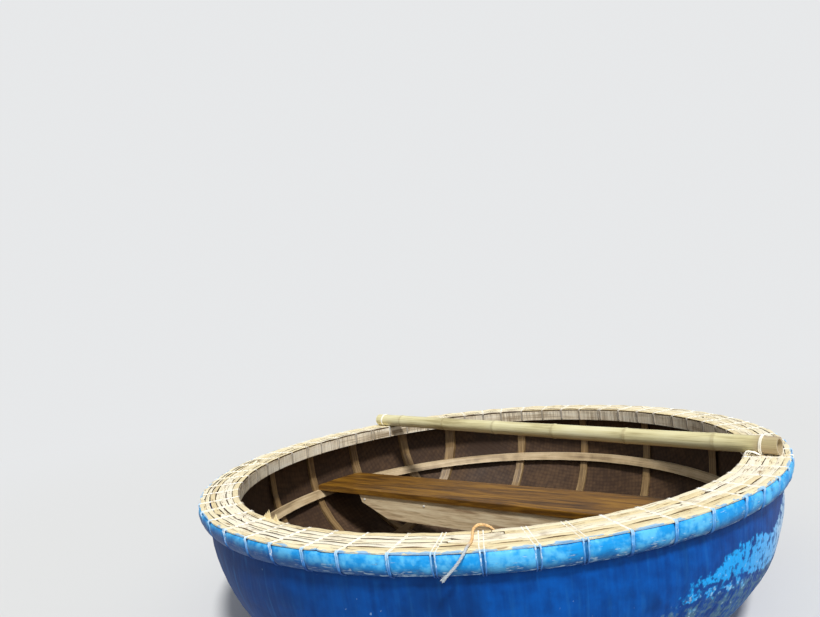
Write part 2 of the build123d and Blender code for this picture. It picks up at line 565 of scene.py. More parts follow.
def weave_height(shader: Shader) -> Value:
    """Relief of a plain weave that was woven flat and pressed into the bowl.

    Args:
        shader: The material it belongs to.

    Returns:
        Height from 0 to 1.
    """
    reach = shader.radius()
    spread = (reach + shader.z * 0.8) / reach * (1.0 / WEAVE_PITCH)
    across = shader.x * spread + shader.noise(3.0, 2.0) * 2.4
    along = shader.y * spread + shader.noise(3.4, 2.0) * 2.4
    warp = ((across * math.pi).sine()).absolute() ** 0.35
    weft = ((along * math.pi).sine()).absolute() ** 0.35
    warp_lift = (along * math.pi + across.floor() * math.pi).sine() * 0.5 + 0.5
    weft_lift = (across * math.pi + along.floor() * math.pi + math.pi).sine() * 0.5 + 0.5
    return (warp * warp_lift).larger(weft * weft_lift)


@dataclass(frozen=True)
class ResinLining:
    """Bamboo weave coated with dark resin, rubbed a little on its raised strips."""

    resin: Colour = srgb(62, 46, 35)
    bare: Colour = srgb(92, 70, 50)
    dust: Colour = srgb(112, 96, 78)

    def build(self) -> Material:
        """Make the material.

        Returns:
            The material.
        """
        shader = Shader("resin_lining")
        weave = weave_height(shader)
        clouds = shader.noise(4.0, 5.0)
        fine = shader.noise(38.0, 5.0)
        worn = (weave * 0.16 + clouds * 0.5 + fine * 0.4).between(0.44, 0.78)
        settled = shader.z.between(0.02, 0.22, 0.55, 0.0) * fine.between(0.4, 0.62)
        colour = shader.layered(self.resin, (worn, self.bare), (settled, self.dust))
        roughness = clouds.between(0.3, 0.7, 0.55, 0.75)
        normal = shader.bump(weave * 0.5 + fine * 0.5, 0.0014)
        return shader.finish(colour, roughness, normal, specular_ior_level=0.2)


@dataclass(frozen=True)
class RailPaint:
    """Bright blue paint over a soft bamboo bundle, rubbed in pale streaks along its lower edge."""

    bright: Colour = srgb(18, 148, 222)
    pale: Colour = srgb(92, 188, 238)
    # Painted shade of the rail's lower part and of its left side
    under: Colour = srgb(4, 52, 116)
    rubbed: Colour = srgb(190, 216, 228)
    # Dirt, and painted shade in the creases beside the lashings
    grime_and_shade: Colour = srgb(10, 58, 118)
    timber: Colour = srgb(92, 70, 44)

    def build(self) -> Material:
        """Make the material.

        Returns:
            The material.
        """
        shader = Shader("rail_paint")
        left = shader.leftward(-92.0, -64.0)
        clouds = shader.noise(16.0, 6.0)
        grain = shader.round_grain(9.0, 160.0)
        streaks = shader.round_grain(34.0, 260.0, 4.0)
        mottle = clouds * 0.6 + shader.noise(70.0, 4.0) * 0.4
        # Painted shade: the lower part of the rail goes darker, reaching higher on the left
        height = shader.z + (clouds - 0.5) * 0.024 - shader.leftward(-98.0, -66.0) * 0.028
        low = height.fading(0.560, 0.594)
        # Dirt in streaks and blotches, a little heavier on the lower part
        darkened = (shader.noise(30.0, 5.0) * 0.6 + streaks * 0.4 + low * 0.10).between(0.56, 0.70)
        rubbed = (streaks * 0.65 + shader.noise(60.0, 5.0) * 0.35 + low * 0.09).between(0.60, 0.69)
        covered = shader.radius().fading(*UNDER_LATHS) * shader.z.between(0.610, 0.614)
        colour = shader.layered(
            self.bright,
            (mottle.between(0.42, 0.60), self.pale),
            (low * 0.9, self.under),
            (darkened * 0.45, self.grime_and_shade),
            (rubbed * (0.72 - left * 0.62), self.rubbed),
            # Painted shade over the left of the rail
            (left * 0.16, self.under),
            # Painted shade in the creases beside each lashing
            (shader.attribute("crease_shade") * 0.75, self.grime_and_shade),
            (covered, self.timber),
        )
        relief = grain * 0.6 + shader.noise(90.0, 4.0) * 0.4
        return shader.finish(colour, 0.5, shader.bump(relief, 0.0020), specular_ior_level=0.2)


@dataclass(frozen=True)
class RoundBamboo:
    """Split bamboo that runs round the boat, bleached or weathered."""

    name: str
    dark: Colour
    body: Colour
    bleached: Colour
    grain_scale: float = 420.0
    roughness: float = 0.55
    hatching: float = 0.0

    def build(self) -> Material:
        """Make the material.

        Returns:
            The material.
        """
        shader = Shader(self.name)
        fibres = shader.round_grain(5.0, self.grain_scale, 4.0)
        strips = shader.round_grain(2.6, 46.0, 2.0)
        stains = shader.noise(17.0, 5.0)
        tone = fibres * 0.35 + strips * 0.45 + stains * 0.2
        colour = shader.ramp(
            tone.between(0.32, 0.68), [(0.0, self.dark), (0.42, self.body), (1.0, self.bleached)]
        )
        spots = shader.noise(120.0, 3.0).between(0.68, 0.74)
        colour = shader.mix(spots * 0.5, colour, self.dark)
        height = fibres * 0.7 + shader.noise(160.0, 3.0) * 0.3
        if self.hatching:
            ends = shader.stretched(250.0, 250.0, 4.0, 4.0).between(0.45, 0.57)
            ends = ends * shader.noise(9.0, 4.0).between(0.40, 0.60, 0.35, 1.0)
            colour = shader.mix(ends * self.hatching, colour, self.dark)
            height = height - ends * 0.8
        return shader.finish(colour, self.roughness, shader.bump(height, 0.0009))


@dataclass(frozen=True)
class LathBamboo:
    """Sun-bleached laths, each of its own tone, with painted shade on their sides."""

    shadow: Colour = srgb(112, 84, 50)
    straw: Colour = srgb(232, 212, 162)
    cream: Colour = srgb(245, 232, 194)
    white: Colour = srgb(252, 245, 225)
    stain: Colour = srgb(146, 112, 70)
    smear: Colour = srgb(84, 176, 236)

    def build(self) -> Material:
        """Make the material.

        Returns:
            The material.
        """
        shader = Shader("lath_bamboo")
        fibres = shader.round_grain(7.0, 520.0, 4.0)
        stretch = shader.round_grain(9.0, 60.0, 3.0)
        tone = shader.attribute("tone") * 0.40 + stretch * 0.40 + fibres * 0.20
        colour = shader.ramp(
            tone.between(0.2, 0.8), [(0.0, self.straw), (0.6, self.cream), (1.0, self.white)]
        )
        stained = (shader.noise(20.0, 5.0) * 0.55 + fibres * 0.45).between(0.53, 0.68)
        cracks = shader.round_grain(26.0, 230.0, 2.0).between(0.60, 0.66)
        # Painted shade on the laths' sides, fading out at the outer edge
        side = shader.attribute("side").between(0.84, 1.0) * shader.radius().fading(*UNDER_LATHS)
        edge = shader.radius().between(1.078, 1.098, 0.0, 0.30)
        painted = (edge + shader.round_grain(30.0, 90.0, 4.0)).between(0.76, 0.82)
        near = shader.y.fading(*NEAR_SIDE)
        colour = shader.layered(
            colour,
            (stained * 0.6, self.stain),
            (cracks * 0.75, self.stain),
            (side * 0.9, self.shadow),
            (painted * near * 0.7, self.smear),
        )
        height = fibres * 0.7 + shader.noise(160.0, 3.0) * 0.3
        return shader.finish(colour, 0.52, shader.bump(height, 0.0009))


@dataclass(frozen=True)
class StraightWood:
    """Timber or bamboo whose grain runs along one axis."""

    name: str
    dark: Colour
    body: Colour
    light: Colour
    grain: Triple
    roughness: float = 0.5
    coat: float = 0.0

    def build(self) -> Material:
        """Make the material.

        Returns:
            The material.
        """
        shader = Shader(self.name)
        x, y, z = self.grain
        broad = shader.stretched(x, y, z, 2.0)
        drift = broad * 2.5
        warped = shader.vector(
            shader.x * (x * 3.0) + drift, shader.y * (y * 3.0) + drift, shader.z * (z * 3.0)
        )
        figure = shader.noise(1.0, 4.0, warped)
        pores = shader.stretched(x * 12.0, y * 12.0, z * 12.0, 3.0)
        tone = broad * 0.3 + figure * 0.5 + pores * 0.2
        colour = shader.ramp(
            tone.between(0.3, 0.7), [(0.0, self.dark), (0.45, self.body), (1.0, self.light)]
        )
        normal = shader.bump(figure * 0.4 + pores * 0.6, 0.0008)
        return shader.finish(
            colour, self.roughness, normal, coat_weight=self.coat, coat_roughness=0.25
        )


@dataclass(frozen=True)
class CordFibre:
    """Twisted cord or rope, tinted along its length and soiled in its grooves."""

    name: str
    clean: Colour
    worn: Colour
    dirt: Colour
    scale: float = 60.0

    def fibres(self, shader: Shader) -> Socket:
        """Colour of the bare cord.

        Args:
            shader: The material it belongs to.

        Returns:
            The colour.
        """
        tint = shader.noise(self.scale * 0.4, 3.0)
        soiled = shader.noise(self.scale, 4.0).between(0.60, 0.74) * 0.6
        return shader.layered(self.clean, (tint.between(0.4, 0.64), self.worn), (soiled, self.dirt))

    def fuzzy(self, shader: Shader, colour: Socket, roughness: float = 0.85) -> Material:
        """Close the material with this colour and a fuzz of fibres."""
        fuzz = shader.noise(self.scale * 14.0, 3.0)
        return shader.finish(colour, roughness, shader.bump(fuzz, 0.0006))

    def build(self) -> Material:
        """Make the material."""
        shader = Shader(self.name)
        return self.fuzzy(shader, self.fibres(shader))


@dataclass(frozen=True)
class LashingCord(CordFibre):
    """Lashing cord painted over with the rub rail: thinly above, thickly below, with painted shade
    beneath.
    """

    thin_paint: Colour = srgb(140, 196, 238)
    full_paint: Colour = srgb(108, 184, 240)
    thick_paint: Colour = srgb(58, 128, 198)
    # Painted shade of the cords at the rail's underside
    underside: Colour = srgb(6, 62, 134)
    # Dirt and painted shade of the cords on the hoop's inner face
    grime_and_shade: Colour = srgb(146, 130, 106)

    def build(self) -> Material:
        """Make the material.

        Returns:
            The material.
        """
        shader = Shader(f"{self.name}_lashing")
        right = 1.0 - shader.leftward(-64.0, -44.0)
        height = shader.z + shader.noise(30.0, 3.0) * 0.016
        upper = shader.mix(right, self.thin_paint, self.full_paint)
        lowered = height - shader.leftward(-92.0, -66.0) * 0.010
        paint = shader.mix(lowered.between(0.582, 0.610), self.thick_paint, upper)
        # Painted shade low on the rail, reaching higher on the left
        paint = shader.mix(lowered.fading(0.568, 0.580) * 0.9, paint, self.underside)
        on_rail = shader.radius().between(1.058, 1.061) * height.fading(0.620, 0.628)
        knuckle = shader.radius().between(1.086, 1.098, 0.0, 0.75)
        on_rail = on_rail.larger(knuckle * shader.y.between(*NEAR_SIDE, 1.0, 0.3))
        chipped = shader.noise(110.0, 4.0).between(0.56, 0.64, 1.0, 0.35)
        chipped = chipped.larger(height.fading(0.590, 0.608)).larger(right * 0.85)
        # Cords on the hoop's inner face are darkened: dirt and painted shade
        inside = shader.radius().between(0.962, 0.967, 0.75, 0.0)
        colour = shader.layered(
            self.fibres(shader), (inside, self.grime_and_shade), (on_rail * chipped, paint)
        )
        return self.fuzzy(shader, colour, 0.8)


@dataclass(frozen=True)
class TowRopeFibre(CordFibre):
    """Rope that is orange-brown at its loop and bleached grey towards its end."""

    grey: Colour = srgb(176, 190, 200)

    def build(self) -> Material:
        """Make the material.

        Returns:
            The material.
        """
        shader = Shader(self.name)
        outside = (shader.radius() + shader.noise(60.0, 3.0) * 0.03).between(1.06, 1.12)
        return self.fuzzy(shader, shader.mix(outside * 0.9, self.fibres(shader), self.grey))


CORD = CordFibre("cord", srgb(255, 252, 242), srgb(236, 230, 212), srgb(160, 148, 122))
PAINTED_CORD = LashingCord("cord", srgb(255, 254, 248), srgb(246, 240, 222), srgb(186, 170, 138))
ROPE = TowRopeFibre("rope_fibre", srgb(242, 200, 142), srgb(222, 174, 114), srgb(140, 106, 70))
HOOPS = RoundBamboo("bamboo_weathered", srgb(108, 88, 64), srgb(182, 158, 120), srgb(220, 198, 160))
INNER_HOOP = RoundBamboo(
    "bamboo_inner_hoop", srgb(138, 116, 86), srgb(244, 230, 202), srgb(252, 246, 228), hatching=0.6
)
BUNDLE = RoundBamboo("bamboo_dark", srgb(58, 42, 28), srgb(112, 86, 54), srgb(156, 126, 84))
BENCH_TONES = (srgb(56, 34, 8), srgb(112, 74, 16), srgb(162, 116, 32))
BENCH = StraightWood("bench_wood", *BENCH_TONES, grain=(2.2, 30.0, 30.0), roughness=0.44, coat=0.1)
BOARD_TONES = (srgb(150, 120, 88), srgb(214, 190, 150), srgb(242, 226, 190))
RAW_WOOD = StraightWood("raw_wood", *BOARD_TONES, grain=(2.4, 34.0, 34.0), roughness=0.7)
RIB_TONES = (srgb(78, 58, 36), srgb(128, 102, 66), srgb(164, 136, 92))
LONG_RIB = StraightWood("rib_long_bamboo", *RIB_TONES, grain=(3.0, 70.0, 3.0))
CROSS_RIB = StraightWood("rib_cross_bamboo", *RIB_TONES, grain=(70.0, 3.0, 3.0))
STEEL_COLOUR = srgb(244, 244, 242)


def steel() -> Material:
    """Bright zinc of a screw head.

    Returns:
        The material.
    """
    shader = Shader("screw_steel")
    worn = shader.noise(300.0, 3.0).between(0.4, 0.6, 0.22, 0.4)
    return shader.finish(STEEL_COLOUR, worn, metallic=0.25)


def add_object(name: str, data: bpy.types.ID) -> Piece:
    """Put new data into the scene as an object.

    Args:
        name: Name of the new object.
        data: Its curve, camera or light.

    Returns:
        The object.
    """
    piece = bpy.data.objects.new(name, data)
    bpy.context.scene.collection.objects.link(piece)
    return piece


def select_only(piece: Piece) -> None:
    """Deselect everything, then select one object and make it active.

    Args:
        piece: The object.
    """
    bpy.ops.object.select_all(action="DESELECT")
    piece.select_set(True)
    bpy.context.view_layer.objects.active = piece


def points_of(piece: Piece) -> np.ndarray:
    """Vertices of a mesh as rows of x, y and z.

    Args:
        piece: The mesh object.

    Returns:
        One row for each vertex.
    """
    points = np.empty(len(piece.data.vertices) * 3)
    piece.data.vertices.foreach_get("co", points)
    return points.reshape(-1, 3)


def reshape(piece: Piece, change: Callable[[np.ndarray], np.ndarray]) -> None:
    """Move all vertices of a mesh at once.

    Args:
        piece: The object.
        change: Takes the points as rows of x, y and z, and returns them moved.
    """
    moved = change(points_of(piece))
    piece.data.vertices.foreach_set("co", np.ascontiguousarray(moved).ravel())
    piece.data.update()


def store(piece: Piece, name: str, numbers: np.ndarray) -> None:
    """Keep a number for each vertex under a name that a material can read."""
    attribute = piece.data.attributes.new(name, "FLOAT", "POINT")
    attribute.data.foreach_set("value", numbers.astype(np.float32))


def apply_modifier(piece: Piece, kind: str, **options: object) -> None:
    """Add a modifier and apply it.

    Args:
        piece: The object.
        kind: Blender's type of modifier.
        **options: Its settings.
    """
    select_only(piece)
    modifier = piece.modifiers.new(kind.title(), kind)
    for key, option in options.items():
        setattr(modifier, key, option)
    bpy.ops.object.modifier_apply(modifier=modifier.name)


def join(pieces: Sequence[Piece], name: str) -> Piece:
    """Join meshes into one object.

    Args:
        pieces: The meshes.
        name: Name of the result.

    Returns:
        The joined object.
    """
    select_only(pieces[0])
    for piece in pieces:
        piece.select_set(True)
    bpy.ops.object.join()
    joined = bpy.context.view_layer.objects.active
    joined.name = name
    joined.data.name = name
    return joined


def smooth(piece: Piece, degrees: float) -> None:
    """Shade smooth, except over edges sharper than an angle."""
    select_only(piece)
    bpy.ops.object.shade_smooth_by_angle(angle=math.radians(degrees))


def circle(name: str, corners: int, radius: float, height: float = 0.0) -> Piece:
    """Add a ring of edges round the boat's axis and select nothing else.

    Args:
        name: Name of the new object.
        corners: How many vertices it has.
        radius: Its radius.
        height: Its height.

    Returns:
        The ring.
    """
    bpy.ops.object.select_all(action="DESELECT")
    bpy.ops.mesh.primitive_circle_add(vertices=corners, radius=radius, location=(0, 0, height))
    ring = bpy.context.active_object
    ring.name = name
    return ring


def begin_edit() -> None:
    """Enter edit mode with the whole mesh selected."""
    bpy.ops.object.mode_set(mode="EDIT")
    bpy.ops.mesh.select_all(action="SELECT")


def end_edit() -> None:
    """Turn all faces outwards and leave edit mode."""
    bpy.ops.mesh.select_all(action="SELECT")
    bpy.ops.mesh.normals_make_consistent(inside=False)
    bpy.ops.object.mode_set(mode="OBJECT")


def spun_ring(name: str, outline: Outline, steps: int) -> Piece:
    """Spin a closed outline round the boat's axis.

    Args:
        name: Name of the new object.
        outline: Corners as (radius, height).
        steps: Facets in the full turn.

    Returns:
        The closed ring.
    """
    ring = circle(name, len(outline), 1.0)
    for vertex, (reach, height) in zip(ring.data.vertices, outline):
        vertex.co = (reach, 0.0, height)
    begin_edit()
    bpy.ops.mesh.spin(steps=steps, angle=math.tau, center=(0, 0, 0), axis=(0, 0, 1))
    bpy.ops.mesh.select_all(action="SELECT")
    bpy.ops.mesh.remove_doubles(threshold=MERGE_REACH)
    bpy.ops.mesh.delete_loose(use_verts=True, use_edges=True, use_faces=False)
    end_edit()
    return ring


def tie_angles() -> list[float]:
    """Angles of the lashings: measured at the near side, evenly jittered round the rest.

    Returns:
        Degrees, in order round the boat.
    """
    rng = Random(TIE_SEED)
    rest = TIE_COUNT - len(NEAR_TIE_ANGLES) + 1
    start = NEAR_TIE_ANGLES[-1]
    step = (NEAR_TIE_ANGLES[0] + 360 - start) / rest
    return list(NEAR_TIE_ANGLES) + [
        start + step * count + rng.uniform(-TIE_PLAY, TIE_PLAY) for count in range(1, rest)
    ]


def tie_fraction(angles: np.ndarray, ties: Sequence[float]) -> np.ndarray:
    """Share of the way from each angle's last lashing to its next, 0 to 1.

    Args:
        angles: Degrees.
        ties: Angles of the lashings.

    Returns:
        The share for each angle.
    """
    marks = np.array([*ties, ties[0] + 360])
    turned = (angles - ties[0]) % 360 + ties[0]
    index = np.clip(np.searchsorted(marks, turned, side="right") - 1, 0, len(marks) - 2)
    return (turned - marks[index]) / (marks[index + 1] - marks[index])


def round_point(angle: float, reach: float, height: float) -> Vector:
    """Point at an angle in degrees, a radius and a height."""
    turn = math.radians(angle)
    return Vector((reach * math.cos(turn), reach * math.sin(turn), height))


def cord_curve(name: str, routes: Sequence[Route], thickness: float, fineness: int = 2) -> Piece:
    """Lay smooth round cords along routes.

    Args:
        name: Name of the new object.
        routes: Control points of each cord.
        thickness: Diameter.
        fineness: Steps to each span.

    Returns:
        One curve object with a spline for each route.
    """
    curve = bpy.data.curves.new(name, "CURVE")
    curve.dimensions = "3D"
    curve.resolution_u = fineness
    curve.bevel_depth = thickness / 2
    curve.bevel_resolution = 1
    curve.use_fill_caps = True
    for route in routes:
        spline = curve.splines.new("NURBS")
        spline.points.add(len(route) - 1)
        for point, place in zip(spline.points, route):
            point.co = (*place, 1.0)
        spline.order_u = 3
        spline.use_endpoint_u = True
    return add_object(name, curve)


def to_mesh(piece: Piece) -> Piece:
    """Turn a curve object into a mesh object.

    Args:
        piece: The curve object.

    Returns:
        The mesh object.
    """
    select_only(piece)
    bpy.ops.object.convert(target="MESH")
    return bpy.context.view_layer.objects.active


def lay_cords(name: str, routes: Sequence[Route], thickness: float, fineness: int = 2) -> Piece:
    """Lay cords along routes as one smooth mesh.

    Args:
        name: Name of the new object.
        routes: Control points of each cord.
        thickness: Diameter.
        fineness: Steps to each span.

    Returns:
        The mesh object.
    """
    cords = to_mesh(cord_curve(name, routes, thickness, fineness))
    smooth(cords, 60.0)
    return cords


def centreline(route: Route, fineness: int) -> list[Vector]:
    """Points read from the smooth curve that a route controls.

    Args:
        route: The control points.
        fineness: Steps to each span.

    Returns:
        The points, from end to end.
    """
    guide = cord_curve("guide", [route], 0.0, fineness)
    line = bpy.data.meshes.new_from_object(guide)
    points = [vertex.co.copy() for vertex in line.vertices]
    bpy.data.meshes.remove(line)
    bpy.data.objects.remove(guide)
    return points


def place(piece: Piece, slot: Slot, material: Material, *nodes: str) -> None:
    """Dress a finished piece and fix it to the boat.

    Args:
        piece: The object.
        slot: Slot of the record; not used.
        material: Its material.
        *nodes: Nodes of the frame that it stands for.
    """
    piece.data.materials.clear()
    piece.data.materials.append(material)
    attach(piece, BODY)
    if nodes:
        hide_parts(*nodes)
    LOG.info("%s: stands for %s", piece.name, ", ".join(nodes) or "itself")


@dataclass
class BasketHull:
    """Woven bowl: a painted outside and a resin-coated lining, each a closed shell."""

    radius: float = 1.065
    wall: float = 0.012
    wall_heights: tuple[float, ...] = (0.545, 0.58, 0.615)
    disc_shares: tuple[float, ...] = (0.0, 0.35, 0.7, 1.0)
    floor_radius: float = 1.424
    floor_turn: float = 24.25
    floor_steps: int = 10
    bilge_radius: float = 0.432
    bilge_steps: int = 14
    steps: int = 288
    ripple: float = 0.0022
    # Size, waves to a turn, radians to the metre of height, and phase of each slow wave
    waves: tuple[tuple[float, int, int, float], ...] = (
        (1.0, 5, 9, 0.0), (0.8, 11, -14, 1.0), (0.6, 23, 21, 2.0),
    )
    # Height where the waves start or end, and how far they take to grow
    still_base: Pair = (0.05, 0.1)
    still_rim: Pair = (0.56, 0.08)
    pull_in: float = 1.2

    def profile(self, inset: float) -> list[Pair]:
        """Half section of a face, from the axis to the top.

        Args:
            inset: How far the face is moved in.

        Returns:
            Corners as radius and height.
        """
        turn = math.radians(self.floor_turn)
        bilge_centre = self.radius - self.bilge_radius
        disc = bilge_centre - (self.floor_radius - self.bilge_radius) * math.sin(turn)
        bilge_height = self.floor_radius - (self.floor_radius - self.bilge_radius) * math.cos(turn)
        points = [(disc * share, inset) for share in self.disc_shares]
        arcs = (
            (disc, self.floor_radius, self.floor_radius, 0.0, turn, self.floor_steps),
            (bilge_centre, bilge_height, self.bilge_radius, turn, math.pi / 2, self.bilge_steps),
        )
        for across, up, radius, start, end, steps in arcs:
            reach = radius - inset
            for count in range(1, steps + 1):
                angle = start + (end - start) * count / steps
                points.append((across + reach * math.sin(angle), up - reach * math.cos(angle)))
        return points + [(self.radius - inset, height) for height in self.wall_heights]

    def shell(self, name: str, outer: float, inner: float) -> Piece:
        """Spin the skin between two insets and ripple it as hand-made work is.

        Args:
            name: Name of the new object.
            outer: Inset of its outer face.
            inner: Inset of its inner face.

        Returns:
            The closed skin.
        """
        outline = self.profile(outer) + self.profile(inner)[::-1]
        skin = spun_ring(name, outline, self.steps)
        reshape(skin, self.rippled)
        smooth(skin, 50.0)
        return skin

    def rippled(self, points: np.ndarray) -> np.ndarray:
        """Push the wall in and out in slow waves, leaving its base and its rim alone.

        Args:
            points: Rows of x, y and z.

        Returns:
            The points moved.
        """
        angle = np.arctan2(points[:, 1], points[:, 0])
        reach = np.maximum(np.hypot(points[:, 0], points[:, 1]), TINY)
        height = points[:, 2]
        wave = sum(
            size * np.sin(turns * angle + climb * height + phase)
            for size, turns, climb, phase in self.waves
        )
        (base, base_ease), (rim, rim_ease) = self.still_base, self.still_rim
        fade = np.clip((height - base) / base_ease, 0, 1) * np.clip((rim - height) / rim_ease, 0, 1)
        shift = self.ripple * wave * fade - self.ripple * self.pull_in * fade
        moved = points.copy()
        moved[:, 0] += shift * points[:, 0] / reach
        moved[:, 1] += shift * points[:, 1] / reach
        return moved

    def build(self) -> None:
        """Make both skins."""
        middle = self.wall / 2
        outside = self.shell("hull_outside", 0.0, middle)
        place(outside, Slot.HULL_PAINT, HullPaint().build(), "basket_hull")
        lining = self.shell("hull_lining", middle, self.wall)
        place(lining, Slot.DARK_BAMBOO, ResinLining().build(), "basket_hull")


@dataclass
class RubRail:
    """Soft outer bundle, painted, which swells between the lashings that pinch it."""

    inner_radius: float = 1.0652
    low: float = 0.5560
    widest: float = 0.6010
    high: float = 0.6175
    swell: float = 0.0350
    pinch: float = 0.0055
    pinch_reach: float = 0.0085
    crease_reach: float = 0.0060
    under_round: float = 0.9
    under_steps: int = 11
    upper_round: float = 0.16
    upper_steps: int = 6
    mean_radius: float = 1.1
    seed: int = 11
    puff_range: Pair = (-0.0024, 0.0018)
    sag_range: Pair = (-0.0020, 0.0020)
    # Size, waves to a turn and radians to the metre of height of each set of lumps
    lumps: tuple[tuple[float, int, int], ...] = ((0.0009, 61, 90), (0.0007, 113, 0))
    shares: tuple[float, ...] = (
        0.0, 0.03, 0.07, 0.13, 0.22, 0.35, 0.5, 0.65, 0.78, 0.87, 0.93, 0.97,
    )

    def outline(self) -> list[Pair]:
        """Section: a quarter round below, tucked under, and a tight round above.

        Returns:
            Corners as radius and height.
        """
        points = [(self.inner_radius, self.low)]
        below, above = self.widest - self.low, self.high - self.widest
        rounds = [(-90 + 90 * count / self.under_steps, self.under_round, below)
                  for count in range(1, self.under_steps + 1)]
        rounds += [(90 * count / self.upper_steps, self.upper_round, above)
                   for count in range(1, self.upper_steps)]
        for degrees, roundness, rise in rounds:
            turn = math.radians(degrees)
            reach = self.swell * math.cos(turn) ** roundness
            points.append((self.inner_radius + reach, self.widest + rise * math.sin(turn)))
        points.append((self.inner_radius + self.swell * 0.5, self.high))
        points.append((self.inner_radius, self.high))
        return points

    def pinched(self, cover: float) -> list[Pair]:
        """Outer face at a lashing, from the underside to the top.

        Args:
            cover: How far the face is moved out.

        Returns:
            Corners as radius and height.
        """
        share = 1 - self.pinch / self.swell
        outer = self.outline()[:-2]
        return [(self.inner_radius + (reach - self.inner_radius) * share + cover, height)
                for reach, height in outer]

    def build(self, ties: Sequence[float]) -> None:
        """Spin the rail, then pinch it at each lashing.

        Args:
            ties: Angles of the lashings.
        """
        per_gap = len(self.shares)
        steps = per_gap * len(ties)
        rail = spun_ring("rub_rail_bundle", self.outline(), steps)
        marks = np.array([*ties, ties[0] + 360])
        rng = np.random.default_rng(self.seed)
        puff = rng.uniform(*self.puff_range, len(ties))
        sag = rng.uniform(*self.sag_range, len(ties))
        crease_shade = np.zeros(len(rail.data.vertices))

        def swollen(points: np.ndarray) -> np.ndarray:
            """Turn each ring of points to its place between lashings and swell it.

            Args:
                points: Rows of x, y and z.

            Returns:
                The points moved.
            """
            reach = np.hypot(points[:, 0], points[:, 1])
            count = np.rint(np.degrees(np.arctan2(points[:, 1], points[:, 0])) % 360 / 360 * steps)
            count = count.astype(int) % steps
            gap = count // per_gap
            share = np.array(self.shares)[count % per_gap]
            angle = np.radians(marks[gap] + share * (marks[gap + 1] - marks[gap]))
            width = np.radians(marks[gap + 1] - marks[gap]) * self.mean_radius
            near = np.minimum(share, 1 - share) * width
            pinch = self.pinch * np.exp(-((near / self.pinch_reach) ** 2))
            # Where the painted crease shade lies: close to each lashing
            crease_shade[:] = np.exp(-((near / self.crease_reach) ** 2))
            outward = (reach - self.inner_radius) / self.swell
            around = np.sin(np.pi * share)
            lumps = sum(size * np.sin(angle * rate + points[:, 2] * climb)
                        for size, rate, climb in self.lumps)
            reach = reach + outward * ((puff[gap] + lumps) * around - pinch)
            height = points[:, 2] + outward * sag[gap] * around
            return np.column_stack([reach * np.cos(angle), reach * np.sin(angle), height])

        reshape(rail, swollen)
        store(rail, "crease_shade", crease_shade)
        smooth(rail, 60.0)
        place(rail, Slot.RAIL_PAINT, RailPaint().build(), "rub_rail")


